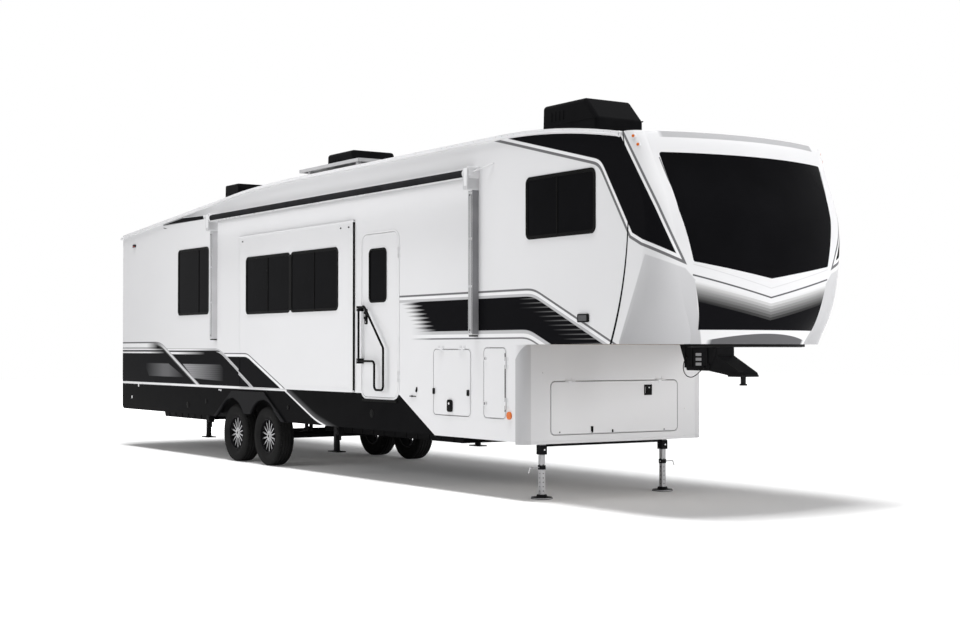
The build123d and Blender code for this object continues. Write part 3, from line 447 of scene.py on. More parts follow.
def waist_graphics(paint, x, z, place):
    """Dark field with outlines and fading streaks behind the entry door."""
    top = bend(place, WAIST_TOP)
    level, high, low, smooth = WAIST_LOW
    bottom = paint.math("SMOOTH_MAX", place.left((0.0, level), (1.0, level)), place.left(high, low), smooth)
    ahead = x.over(2.027)
    spread = x.rise(2.30, 2.75)
    for low, high, shade in ((0.0, 0.022, LINE_GREY), (0.022, 0.052, WHITE), (0.052, 0.082, DULL)):
        paint.lay(shade, top.band(low, high) * bottom.over(0.05) * ahead)
    for reach, low, high, shade in (
            (0.052, -0.036, 0.06, DULL), (0.052, -0.068, -0.036, WHITE), (0.10, -0.090, -0.074, LINE_GREY)):
        paint.lay(shade, top.over(reach) * bottom.band(low, high) * spread)

    streak = z.wave(STREAK_PITCH, 0.007)
    back = place.left(*WAIST_START) * -1.0
    fade_in = back / 0.32 * 1.6 - (1.0 - streak) * 0.6
    paint.lay(BLACK, top.over(0.080) * bottom.over() * fade_in.rise(0.0, 1.0) * ahead)
    length = z.ranged(1.65, 2.05, 0.20, 0.11)
    tail = (1.0 - (top - 0.080) / length).rise(0.0, 1.0, 0.30)
    glint = streak.rise(0.72, 0.98) * tail * top.over(0.082) * bottom.over()
    paint.lay(grey(0.45), glint * x.over(4.5, 0.1))


def corner_graphics(paint, x, y, z):
    """Dark corner that runs from the roof line over the seam onto the cap."""
    place = paint.place(x - abs(y), z)
    open_side = paint.math(
        "SMOOTH_MAX", place.left(*CORNER_ROOF_LINE), place.left(*CORNER_SLANT), 0.09)
    shape = paint.least([open_side, place.inside(CORNER_LOW), place.inside(CORNER_FRONT)])
    for reach, shade in ((-0.058, LINE_GREY), (-0.030, WHITE), (0.0, BLACK)):
        paint.lay(shade, shape.over(reach) * x.over(3.9))


def cap_side_shade(paint, x, y, z):
    """Painted shade over a field beside the nose, behind the windshield's corner, darker towards the
    bottom.
    """
    field = paint.place(x - abs(y), z).inside(CAP_SIDE_SHADE)
    # Painted shade: the field is greyed, more strongly towards its bottom
    paint.lay(grey(0.38, 0.01), field.over(0.0, 0.006) * x.over(6.0) * z.ranged(1.6, 2.4, 0.85, 0.40))


def circle(points):
    """Middle and radius of the circle through three points."""
    (ax, az), (bx, bz), (cx, cz) = points
    d = 2 * (ax * (bz - cz) + bx * (cz - az) + cx * (az - bz))
    sa, sb, sc = ax ** 2 + az ** 2, bx ** 2 + bz ** 2, cx ** 2 + cz ** 2
    mid_x = (sa * (bz - cz) + sb * (cz - az) + sc * (az - bz)) / d
    mid_z = (sa * (cx - bx) + sb * (ax - cx) + sc * (bx - ax)) / d
    return mid_x, mid_z, math.hypot(ax - mid_x, az - mid_z)


def seam_line(paint, x, z, place):
    """Dark joint along the arc between wall and cap."""
    mid_x, mid_z, radius = circle(SEAM)
    off = paint.vector("DISTANCE", place, (mid_x, 1.0, mid_z)) - radius
    width = z.ranged(1.8, 2.9, 0.014, 0.007) - abs(off)
    paint.lay(BLACK, width.over() * x.over(5.8))


def wedge_graphics(paint, x, z, place):
    """Dark wedge and a grey fade under the roof near the rear, and the stripe along it."""
    paint.lay(grey(0.22, 0.01), z.over(3.412) * x.rise(-4.99, -4.95) * x.fall(-4.2, -2.9, 0.75))
    for outline, shade in ((WEDGE_LINE, WHITE), (WEDGE, BLACK), (ROOF_STRIPE, LINE_GREY)):
        paint.lay(shade, place.inside(outline).over())


def nose_graphics(paint, x, y, z):
    """Panel under the windshield: outlines in a wide V over bands that darken downwards."""
    off = abs(y)
    place = paint.place(off, z)
    ahead = x.over(6.3)
    for height, rise, thick, shade in ((2.109, 0.236, 0.008, PALE), (2.026, 0.225, 0.015, INK)):
        line = (z - off * rise).band(height - thick, height)
        paint.lay(shade, ahead * (0.860 - off).over() * line)
    depth = PANEL_TOP - (z - off * PANEL_RISE)
    steps = paint.math("SNAP", depth, PANEL_STEP)
    node = paint.add("ShaderNodeValToRGB")
    paint.feed(node.inputs[0], paint.mix(off.rise(0.05, 0.75, 0.85), steps, depth) / PANEL_DEPTH)
    shades = node.color_ramp.elements
    shades[0].color = (0.72, 0.72, 0.73, 1.0)
    shades[1].color = (*BLACK, 1.0)
    for position, value in PANEL_SHADES:
        shades.new(position).color = (*grey(value), 1.0)
    bands = Value(paint, node.outputs[0])
    paint.lay(bands, place.left(*PANEL_SIDE).over() * z.over(PANEL_LOW) * ahead * depth.over())
    edge = place.inside(SHIELD_EDGE).band(-0.005, 0.005)
    paint.lay(LINE_GREY, edge * z.over(2.33) * z.fall(3.29, 3.292) * ahead)
    # Grey band along the cap's top front edge: painted shade
    paint.lay(SILVER, z.over(3.487) * off.fall(0.95, 0.99) * x.over(6.2))
    dome = off * off * -0.16 + 1.684
    paint.lay(grey(0.12, 0.005), (dome - z).over() * off.fall(0.57, 0.62) * ahead)


def white_wall():
    """Glossy fibreglass with all graphics of the body, and painted shade on the cap's side and along the
    cap's top front edge.
    """
    paint = Paint("white_wall", rough=0.2, shine=0.006)
    x, y, z = paint.axes()
    place = paint.place(x, z)
    plain = paint.mix(paint.noise(0.7), grey(0.70, 0.01), grey(0.74, 0.01))
    paint.colour = plain
    lower_graphics(paint, x, z, place)
    waist_graphics(paint, x, z, place)
    wedge_graphics(paint, x, z, place)
    cap_side_shade(paint, x, y, z)
    corner_graphics(paint, x, y, z)
    nose_graphics(paint, x, y, z)
    seam_line(paint, x, z, place)
    outside = paint.math("MAXIMUM", abs(y).over(1.19), abs(x).over(5.9))
    paint.colour = paint.mix(outside, plain, paint.colour)
    paint.bump(paint.noise(1.6, detail=1.0), 0.004, 0.25)
    return paint.done()


def skirt_paint():
    """Dark skirt with the pinstripe and the slanted line; the fender is duller."""
    paint = Paint("dark_skirt", rough=0.3, shine=0.004)
    x, y, z = paint.axes()
    place = paint.place(x, z)
    grain = paint.noise(260.0)
    fender = abs(y).over(1.228)
    glossy = paint.mix(paint.noise(5.0), grey(0.004, 0.0005), grey(0.007, 0.0005))
    dull = paint.mix(grain, grey(0.014, 0.001), grey(0.030, 0.001))
    paint.colour = paint.mix(fender, glossy, dull)
    top, middle, tail = SKIRT_LINE
    line = paint.math("SMOOTH_MAX", place.left(middle, top), place.left(tail, middle), 0.03)
    outer = abs(y).over(1.215)
    fade = line.over(-0.085, 0.001) * line.rise(-0.085, -0.010, 0.25) * line.fall(-0.012, -0.008)
    paint.lay(SILVER, fade * outer)
    paint.lay(WHITE, line.band(-0.010, 0.012) * outer)
    paint.lay(WHITE, pinstripe(x, z))
    paint.set("Roughness", fender.ranged(0.0, 1.0, 0.28, 0.62))
    paint.bump(grain, 0.0008, fender.ranged(0.0, 1.0, 0.05, 0.6))
    return paint.done()


def speckled(name, low, high, rough, scale=260.0, metal=0.0, bump=0.3):
    """Plain finish with fine grain, some larger shading and a slight relief."""
    paint = Paint(name, rough=rough, metal=metal)
    fine, broad = paint.noise(scale), paint.noise(4.0)
    paint.colour = paint.mix((fine * 0.45 + broad * 0.55).rise(0.3, 0.7), low, high)
    paint.set("Roughness", broad.ranged(0.2, 0.8, rough * 0.85, rough * 1.15))
    paint.bump(fine, 0.0005, bump)
    return paint.done()


def rim_paint():
    """Black wheel with machined outer faces."""
    paint = Paint("alloy_rim", rough=0.3)
    x, _, z = paint.axes()
    turned_out = abs(paint.axes(paint.normal)[1])
    rear, front = AXLE_XS
    along = abs(x - (rear + front) / 2) - (front - rear) / 2
    up = z - WHEEL_Z
    reach = paint.math("SQRT", along * along + up * up)
    facing = turned_out.over(0.9, 0.03) * (0.204 - reach).over()
    turned = paint.noise(900.0, stretch=(1.0, 0.02, 1.0))
    bright = paint.mix(turned, grey(0.20, 0.01), grey(0.42, 0.01))
    paint.colour = paint.mix(facing, grey(0.012, 0.001), bright)
    paint.set("Metallic", facing * 0.9)
    paint.bump(turned, 0.0002, 0.2)
    return paint.done()


def bare_steel():
    """Grey legs, painted hinges on the walls and an oiled black kingpin."""
    paint = Paint("grey_steel", rough=0.38)
    x, y, _ = paint.axes()
    grain = paint.noise(180.0)
    paint.colour = paint.mix(grain, grey(0.40, 0.01), grey(0.54, 0.01))
    on_front = x.over(4.38) * x.fall(4.6, 4.61)
    paint.lay(grey(0.66, 0.01), paint.math("MAXIMUM", abs(y).over(1.18), on_front))
    paint.lay(paint.mix(grain, grey(0.010, 0.001), grey(0.02, 0.001)), x.over(6.1))
    paint.bump(grain, 0.0004, 0.3)
    return paint.done()


def lens(name, colour):
    """Ribbed lamp lens."""
    paint = Paint(name, rough=0.15, coat=0.5)
    ribs = paint.axes()[2].wave(0.008)
    paint.colour = paint.mix(ribs, colour, tuple(0.6 * part for part in colour))
    paint.bump(ribs, 0.001, 0.4)
    return paint.done()


def glass():
    """Nearly black tinted glass."""
    paint = Paint("dark_glass", rough=0.05, shine=0.012)
    paint.colour = paint.mix(paint.noise(2.5), grey(0.003, 0.0005), grey(0.006, 0.001))
    paint.bump(paint.noise(1.2, detail=1.0), 0.003, 0.15)
    return paint.done()


def moulding():
    """Satin moulded front, lighter on its door, with painted shade at its corners, stronger on the door
    side.
    """
    paint = Paint("grey_moulding", rough=0.35, shine=0.10)
    x, y, z = paint.axes()
    off = abs(y)
    paint.colour = paint.mix(paint.noise(1.1), grey(0.60, 0.01), grey(0.65, 0.01))
    paint.lay(grey(0.66, 0.01), (0.845 - off).over() * z.over(0.668) * (1.205 - z).over())
    # Painted shade: the corners are darkened, strongly towards the door side and slightly towards the off
    # side
    corners = paint.math("MAXIMUM", y.fall(-1.17, -0.72, 0.55), y.rise(1.02, 1.21, 0.15))
    paint.lay(grey(0.30, 0.01), corners)
    behind = off.over(1.10) * paint.place(x, z).left((4.345, 1.45), (4.445, 1.60))
    paint.lay(grey(0.70, 0.01), behind.over())
    paint.bump(paint.noise(120.0), 0.0006, 0.2)
    return paint.done()


def dress(materials):
    """Give every CAD node the material of its slot."""
    for part in frame["record"]["subparts"]:
        for place in bpy.data.objects[part["node"]].material_slots:
            place.material = materials[part["material_slot"]]


class Shape:
    """A piece built up from plain parts. Its Y values count outwards on the side given by way."""

    def __init__(self, way=1):
        self.mesh = bmesh.new()
        self.way = way

    def at(self, point):
        x, out, z = point
        return Vector((x, self.way * out, z))

    def box(self, low, high):
        low, high = self.at(low), self.at(high)
        size = [abs(part) for part in high - low]
        place = Matrix.Translation((low + high) / 2) @ Matrix.Diagonal((*size, 1.0))
        bmesh.ops.create_cube(self.mesh, size=1.0, matrix=place)

    def rod(self, start, end, radius, end_radius=None, sides=20):
        """Round bar between two points, or a cone where the end's radius is given."""
        start, end = self.at(start), self.at(end)
        run = end - start
        turn = run.to_track_quat("Z", "Y").to_matrix().to_4x4()
        bmesh.ops.create_cone(
            self.mesh, cap_ends=True, segments=sides, radius1=radius,
            radius2=radius if end_radius is None else end_radius,
            depth=run.length, matrix=Matrix.Translation((start + end) / 2) @ turn)

    def stud(self, x, z, near, far, radius, end_radius=None, sides=20):
        """Round bar that points out of the side."""
        self.rod((x, near, z), (x, far, z), radius, end_radius, sides)

    def ball(self, middle, radius, squash):
        place = Matrix.Translation(self.at(middle)) @ Matrix.Diagonal((*squash, 1.0))
        bmesh.ops.create_uvsphere(self.mesh, u_segments=16, v_segments=10, radius=radius, matrix=place)

    def loft(self, loops, close=True, cap=True):
        """Skin over loops of points; every loop has the same count."""
        rings = [[self.mesh.verts.new(self.at(point)) for point in loop] for loop in loops]
        for here, there in zip(rings, rings[1:]):
            count = len(here)
            for i in range(count if close else count - 1):
                j = (i + 1) % count
                self.mesh.faces.new((here[i], here[j], there[j], there[i]))
        if cap:
            self.mesh.faces.new(rings[0])
            self.mesh.faces.new(rings[-1])

    def plate(self, outline, near, far):
        """Outline of (x, z) points carried between two Y values."""
        self.loft([[(x, y, z) for x, z in outline] for y in (near, far)])

    def slab(self, x, z, half_x, half_z, radius, near, far):
        """Rounded plate around a middle."""
        self.plate(rounded(x - half_x, x + half_x, z - half_z, z + half_z, radius), near, far)

    def ring(self, outer, inner, near, far):
        """Flat frame between two outlines of (x, z) points with the same count."""
        corners = ((outer, near), (inner, near), (inner, far), (outer, far), (outer, near))
        self.loft([[(x, y, z) for x, z in line] for line, y in corners], cap=False)

    def rim(self, box, outer, inner, near, far, steps=5):
        """Frame in a box: how far in its outer and inner line run, each with a corner radius."""
        self.ring(inset(box, *outer, steps), inset(box, *inner, steps), near, far)

    def hull(self, profile, path):
        """Profile of (out, up) points swept along a path of (place, out, up) frames."""
        self.loft([[place + out * a + up * b for a, b in profile] for place, out, up in path])


def spin(x, z, radius, turn):
    """Point on a circle at a part of a full turn."""
    angle = 2 * math.pi * turn
    return x + radius * math.cos(angle), z + radius * math.sin(angle)


def rounded(x0, x1, z0, z1, radius, steps=5):
    """Rectangle with rounded corners as (x, z) points."""
    corners = ((x1 - radius, z1 - radius), (x0 + radius, z1 - radius),
               (x0 + radius, z0 + radius), (x1 - radius, z0 + radius))
    return [
        spin(x, z, radius, (quarter + step / steps) / 4)
        for quarter, (x, z) in enumerate(corners) for step in range(steps + 1)]


def inset(box, by, radius, steps=5):
    x0, x1, z0, z1 = box
    return rounded(x0 + by, x1 - by, z0 + by, z1 - by, radius, steps)


def piece(name, shape, slot, body="root", edge=0.0015, crease=35):
    """Make a shape an object that rides on a body."""
    bmesh.ops.remove_doubles(shape.mesh, verts=shape.mesh.verts, dist=1e-6)
    bmesh.ops.recalc_face_normals(shape.mesh, faces=shape.mesh.faces)
    mesh = bpy.data.meshes.new(name)
    shape.mesh.to_mesh(mesh)
    shape.mesh.free()
    mesh.shade_smooth()
    mesh.set_sharp_from_angle(angle=math.radians(crease))
    mesh.materials.append(finish[slot])
    thing = bpy.data.objects.new(name, mesh)
    bpy.context.scene.collection.objects.link(thing)
    if edge:
        rim = thing.modifiers.new("edges", "BEVEL")
        rim.width = edge
        rim.segments = 2
        rim.limit_method = "ANGLE"
        rim.angle_limit = math.radians(40)
    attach(thing, body)
    return thing


# The tyre's half section from the bead out: radius, distance from its middle
TYRE_SECTION = (
    (0.229, 0.086), (0.236, 0.094), (0.250, 0.100), (0.268, 0.1085), (0.288, 0.1145), (0.310, 0.1170),
    (0.330, 0.1165), (0.345, 0.1150), (0.356, 0.1130), (0.366, 0.1110), (0.376, 0.1060), (0.384, 0.0960),
    (0.3885, 0.0860), (0.3895, 0.0700), (0.3800, 0.0690), (0.3800, 0.0600), (0.3905, 0.0590),
    (0.3910, 0.0280), (0.3815, 0.0270), (0.3815, 0.0170), (0.3910, 0.0160), (0.3910, 0.0),
)
TREAD_STEPS = 288
TREAD_DEPTH = 0.008
# Rim's lip: radius, how far out of the rim's face
LIP_SECTION = ((0.2265, -0.012), (0.2275, 0.0015), (0.2215, 0.0025), (0.2175, -0.004), (0.2145, -0.020))


def wheels():
    for side, way in SIDES:
        for end, x in zip(("rear", "front"), AXLE_XS):
            yield way, f"{side}_{end}", x


def groove(step, radius, y):
    """Depth of the tread at a point of the section; the ribs on the sidewall stand out."""
    if 0.290 < radius < 0.335 and step % 12 == 0:
        return -0.0006
    shoulder = radius > 0.365 and abs(y) > 0.0695 and step % 4 == 0
    middle = radius > 0.385 and 0.029 < abs(y) < 0.0585 and step % 8 == (2 if y > 0 else 6)
    return TREAD_DEPTH if shoulder or middle else 0.0


def tyres():
    """Tyres with shoulder blocks, tread ribs and sidewall rings."""
    section = TYRE_SECTION + tuple((radius, -y) for radius, y in reversed(TYRE_SECTION[:-1]))
    for way, wheel, axle_x in wheels():
        rings = []
        for step in range(TREAD_STEPS):
            ring = []
            for radius, y in section:
                depth = groove(step, radius, y)
                x, z = spin(axle_x, WHEEL_Z, radius - depth, step / TREAD_STEPS)
                ring.append((x, way * WHEEL_Y + y, z))
            rings.append(ring)
        shape = Shape()
        shape.loft(rings + rings[:1], close=False, cap=False)
        tyre = piece(f"{wheel}_tyre_tread", shape, "tyre", f"{wheel}_wheel", edge=0.0, crease=28)
        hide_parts(f"{wheel}_tyre")


def wheel_trim():
    """Centre cap, lug nuts, rim lip ring and valve on each wheel."""
    for way, wheel, x in wheels():
        face = max(abs(corner[1]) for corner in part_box(f"{wheel}_rim"))
        hub = face - 0.026
        dark, bright, lip = Shape(way), Shape(way), Shape(way)
        for nut in range(6):
            nut_x, nut_z = spin(x, WHEEL_Z, 0.048, (nut + 0.5) / 6)
            bright.stud(nut_x, nut_z, hub - 0.012, hub + 0.008, 0.0085, 0.0075, sides=6)
        bright.stud(x, WHEEL_Z, hub, hub + 0.010, 0.031, 0.027, sides=40)
        dark.stud(x, WHEEL_Z, hub, hub + 0.0115, 0.023, 0.021, sides=40)
        dark.rod(
            (x + 0.196, face - 0.030, WHEEL_Z + 0.03), (x + 0.182, face - 0.004, WHEEL_Z + 0.028), 0.0045)
        body = f"{wheel}_wheel"
        piece(f"{body}_nuts", bright, "bright_metal", body, edge=0.0008)
        piece(f"{body}_cap", dark, "black_trim", body, edge=0.0008)
        loops = []
        for radius, out in LIP_SECTION:
            line = [spin(x, WHEEL_Z, radius, step / 96) for step in range(96)]
            loops.append([(px, face + out, pz) for px, pz in line])
        lip.loft(loops, cap=False)
        piece(f"{body}_lip", lip, "rim_edge", body, edge=0.0)


# Windows: name, rear x, front x, bottom, top, outer face, body, x of the sliding bar
WINDOWS = (
    ("rear_room", -4.375, -3.265, 2.040, 3.010, SIDE_Y, "root", -3.62),
    ("bedroom", 4.525, 5.655, 2.635, 3.260, SIDE_Y, "root", 5.045),
    ("slide_rear", -1.966, -0.648, 2.011, 2.785, SLIDE_Y, "slide", -1.303),
    ("slide_front", -0.632, 0.638, 2.011, 2.785, SLIDE_Y, "slide", 0.010),
)


def windows():
    """Inner frames, sliding bars and drain slots of the windows of both sides."""
    for side, way in SIDES:
        for name, x0, x1, z0, z1, face, body, bar in WINDOWS:
            shape = Shape(way)
            shape.rim((x0, x1, z0, z1), (0.023, 0.048), (0.036, 0.036), face - 0.0015, face + 0.003)
            shape.box((bar - 0.011, face - 0.0015, z0 + 0.03), (bar + 0.011, face + 0.004, z1 - 0.03))
            shape.box((bar - 0.004, face + 0.001, z0 + 0.03), (bar + 0.002, face + 0.007, z1 - 0.03))
            for spot in (0.3, 0.7):
                x = x0 + (x1 - x0) * spot
                shape.box((x - 0.02, face + 0.002, z0 + 0.004), (x + 0.02, face + 0.0105, z0 + 0.014))
            on = f"{side}_slide_out" if body == "slide" else "root"
            piece(f"{side}_{name}_window_inner", shape, "black_trim", on, edge=0.001)


def entry():
    """Frame, seal, door window clamp and lock of the entry door."""
    around, leaf, lock, step = Shape(-1), Shape(-1), Shape(-1), Shape(-1)
    outer = rounded(1.155, 2.045, 0.960, 2.913, 0.13, steps=8)
    inner = rounded(1.1765, 2.0235, 0.9805, 2.8915, 0.1085, steps=8)
    around.ring(outer, inner, SIDE_Y, SIDE_Y + 0.006)
    piece("entry_door_frame", around, "trim_white", edge=0.002)
    face = SIDE_Y + 0.0015
    leaf.rim((1.188, 2.012, 0.992, 2.880), (0.0, 0.10), (0.012, 0.088), face, face + 0.003, steps=8)
    leaf.rim((1.335, 1.783, 2.069, 2.733), (0.0, 0.085), (0.015, 0.070), face, face + 0.005)
    piece("entry_door_trim", leaf, "trim_white", "entry_door", edge=0.0012)
    lock.stud(1.284, 1.862, 1.229, 1.236, 0.012)
    lock.stud(1.284, 1.94, 1.245, 1.249, 0.016, 0.014)
    for z in (1.402, 2.020):
        for dx in (-0.012, 0.012):
            lock.stud(1.207 + dx, z, 1.302, 1.305, 0.004, sides=6)
    piece("entry_door_lock", lock, "bright_metal", "entry_door", edge=0.0008)
    step.box((1.20, 1.235, 0.930), (2.00, 1.205, 0.958))
    step.box((1.22, 1.243, 0.944), (1.98, 1.233, 0.952))
    piece("entry_door_sill", step, "black_trim", edge=0.002)


SLIDE_BOX = (-2.199, 1.003, 1.026, 3.086)      # slide-out's face: rear, front, bottom, top


def slide_trim():
    """Corner trims, seals, marker lamps and drip edge of both slide-outs."""
    face = SLIDE_Y
    for side, way in SIDES:
        body = f"{side}_slide_out"
        shape, seal, lamps = Shape(way), Shape(way), Shape(way)
        shape.rim(SLIDE_BOX, (0.0, 0.025), (0.028, 0.018), face, face + 0.003)
        shape.rim(SLIDE_BOX, (0.052, 0.015), (0.056, 0.012), face, face + 0.0015)
        shape.box((-2.199, face, 3.074), (1.003, face + 0.012, 3.079))
        piece(f"{side}_slide_trim", shape, "white_wall", body, edge=0.001)
        seal.rim(SLIDE_BOX, (-0.004, 0.029), (0.009, 0.016), SIDE_Y - 0.0005, SIDE_Y + 0.0025)
        seal.box((0.9935, 1.2235, 1.05), (1.0045, face + 0.002, 3.06))
        seal.box((-0.652, face - 0.002, 2.040), (-0.628, face + 0.007, 2.756))
        piece(f"{side}_slide_seal", seal, "rubber", body, edge=0.0005)
        for x in (-2.08, 0.70, 0.90):
            lamps.ball((x, face + 0.002, 3.005), 0.014, (1.3, 0.5, 0.7))
        piece(f"{side}_slide_lamps", lamps, "black_trim", body, edge=0.0)


# Baggage doors: name, rear, front, bottom, top
BAGGAGE_DOORS = (("large", 2.769, 3.518, 0.822, 1.545), ("narrow", 3.759, 4.175, 0.823, 1.560))


def baggage():
    """Frames, paddles and key discs of the baggage doors."""
    face = BAGGAGE_Y
    back, front = face - 0.012, face + 0.002
    for side, way in SIDES:
        for name, x0, x1, z0, z1 in BAGGAGE_DOORS:
            rim, line, latch, key = Shape(way), Shape(way), Shape(way), Shape(way)
            box = (x0, x1, z0, z1)
            rim.rim(box, (-0.010, 0.065), (0.001, 0.054), SIDE_Y, SIDE_Y + 0.0022)
            piece(f"{side}_{name}_door_frame", rim, "white_wall", edge=0.0008)
            line.rim(box, (0.0075, 0.047), (0.011, 0.044), SIDE_Y + 0.0015, SIDE_Y + 0.0028)
            body = f"{side}_{name}_door"
            piece(f"{body}_seal", line, "seam_grey", body, edge=0.0)
            if name == "large":
                x, z = x0 + 0.353, z0 + 0.110
                latch.slab(x, z, 0.050, 0.066, 0.026, back, front)
                latch.slab(x, z + 0.006, 0.034, 0.046, 0.018, face, face + 0.007)
                key.stud(x, z + 0.024, face + 0.005, face + 0.0095, 0.013)
                for x, z in ((x0 + 0.028, z0 + 0.262), (x1 - 0.040, z0 + 0.256)):
                    latch.slab(x, z, 0.017, 0.033, 0.010, back, front)
            else:
                for x, z, size in ((x0 + 0.040, z1 - 0.117, 0.010), (x0 + 0.036, z0 + 0.153, 0.012)):
                    latch.slab(x, z, size, size, 0.010, back, front)
                    key.stud(x, z, face, face + 0.006, 0.006)
                latch.box((x1 - 0.026, SIDE_Y + 0.0015, 0.90), (x1 - 0.013, SIDE_Y + 0.0045, 1.50))
            piece(f"{body}_latch", latch, "black_trim", body)
            piece(f"{body}_key", key, "bright_metal", body, edge=0.0008)


# Blocks on the front storage door: how far they start and end off its face, y and z ranges
STORAGE_BLOCKS = (
    (-0.001, 0.008, 0.383, 0.487, 1.053, 1.165), (0.012, 0.018, 0.393, 0.477, 1.075, 1.143),
    (0.016, 0.023, 0.411, 0.459, 1.081, 1.121), (-0.001, 0.006, -0.334, -0.304, 0.690, 0.742),
    (0.004, 0.012, -0.328, -0.310, 0.676, 0.724), (-0.001, 0.008, -0.056, -0.040, 0.672, 0.702),
)
LIP_PROFILE = ((4.345, 0.574), (4.438, 0.574), (4.441, 0.590), (4.436, 0.604), (4.345, 0.604))


def front_storage():
    """Screws, hinge covers and latch of the front storage door, and the joint around the moulding."""
    face, body = FRONT_X, "front_storage_door"
    latch, key, line, screws, lip = Shape(), Shape(), Shape(), Shape(), Shape()
    for near, far, y0, y1, z0, z1 in STORAGE_BLOCKS:
        latch.box((face + near, y0, z0), (face + far, y1, z1))
    for y, z in ((-0.736, 0.690), (0.659, 0.684)):
        latch.rod((face - 0.001, y, z), (face + 0.004, y, z), 0.009, 0.007, sides=10)
    piece("front_storage_latch", latch, "black_trim", body, edge=0.002)
    key.rod((face + 0.018, 0.435, 1.133), (face + 0.024, 0.435, 1.133), 0.007)
    piece("front_storage_key", key, "bright_metal", body, edge=0.0008)
    outer = rounded(-0.847, 0.847, 0.666, 1.207, 0.047)
    inner = rounded(-0.843, 0.843, 0.670, 1.203, 0.044)
    near, far = face - 0.0005, face + 0.0008
    corners = ((outer, near), (inner, near), (inner, far), (outer, far), (outer, near))
    line.loft([[(x, y, z) for y, z in loop] for loop, x in corners], cap=False)
    piece("front_storage_seal", line, "seam_grey", body, edge=0.0)
    for y in (-0.95, 0.95):
        for z in (0.62, 0.90, 1.30):
            screws.rod((face - 0.0025, y, z), (face + 0.0005, y, z), 0.006, 0.004, sides=10)
    piece("front_screws", screws, "bright_metal", edge=0.0)
    lip.plate(LIP_PROFILE, -1.14, 1.14)
    piece("front_lower_lip", lip, "grey_moulding", edge=0.002)


def roof_height(x):
    """Height of the roof's top edge."""
    for arc in ROOF_LINE:
        if arc[0][0] <= x <= arc[2][0]:
            mid_x, mid_z, radius = circle(arc)
            rise = math.sqrt(radius ** 2 - (x - mid_x) ** 2)
            return mid_z - rise if mid_z > arc[1][1] else mid_z + rise
    return ROOF_LEVEL


# Gutter rail's section: out from the wall, up from the roof's edge
RAIL_PROFILE = (
    (0.0, -0.003), (0.005, -0.003), (0.007, -0.030), (0.015, -0.036), (0.018, -0.031), (0.021, -0.034),
    (0.019, -0.046), (0.006, -0.052), (0.0, -0.052))
SPOUT_PROFILE = ((0.0, -0.020), (0.030, -0.026), (0.030, -0.050), (0.0, -0.060))
RAIL_REAR, RAIL_FRONT, RAIL_STEPS = -6.640, 5.995, 120


def rail_path():
    """Places along the roof's edge, each with its directions out and up."""
    path = []
    for step in range(RAIL_STEPS + 1):
        x = RAIL_REAR + (RAIL_FRONT - RAIL_REAR) * step / RAIL_STEPS
        rise = roof_height(min(x + 0.01, 6.05)) - roof_height(max(x - 0.01, REAR_X))
        slope = Vector((0.02, 0.0, rise)).normalized()
        up = Vector((-slope.z, 0.0, slope.x))
        path.append((Vector((x, SIDE_Y, roof_height(x))), Vector((0.0, 1.0, 0.0)), up))
    return path


def drip_rails():
    """Gutter rail with screws along both roof edges, its spout and its front end."""
    path = rail_path()
    rear, front = path[0][0], path[-1][0]
    for side, way in SIDES:
        rail, screws, ends = Shape(way), Shape(way), Shape(way)
        rail.hull(RAIL_PROFILE, path)
        piece(f"{side}_drip_rail", rail, "trim_white", edge=0.0)
        for place, out, up in path[1:-1]:
            spot = place + out * 0.005 - up * 0.016
            screws.rod(spot, spot + out * 0.003, 0.0045, 0.003, sides=8)
        piece(f"{side}_rail_screws", screws, "bright_metal", edge=0.0)
        for dx, radius in ((0.012, 0.030), (0.040, 0.024)):
            ends.stud(front.x + dx, front.z - 0.030, SIDE_Y, SIDE_Y + 0.022, radius, radius * 0.8)
        spout = [
            (rear + Vector((dx, 0, drop)), Vector((0, 1, 0)), Vector((0, 0, 1)))
            for dx, drop in ((0.05, 0.0), (0.0, -0.004), (-0.05, -0.02))]
        ends.hull(SPOUT_PROFILE, spout)
        piece(f"{side}_rail_ends", ends, "trim_white", edge=0.002)


# Head of an awning arm: distance from the arm's middle, height
HEAD = ((-0.047, 3.452), (0.047, 3.452), (0.047, 3.36), (0.036, 3.205), (-0.036, 3.205), (-0.047, 3.36))
HEAD_FACE = ((-0.036, 3.44), (0.036, 3.44), (0.028, 3.25), (-0.028, 3.25))
ROLLER_Y, ROLLER_Z = 1.32, 3.385


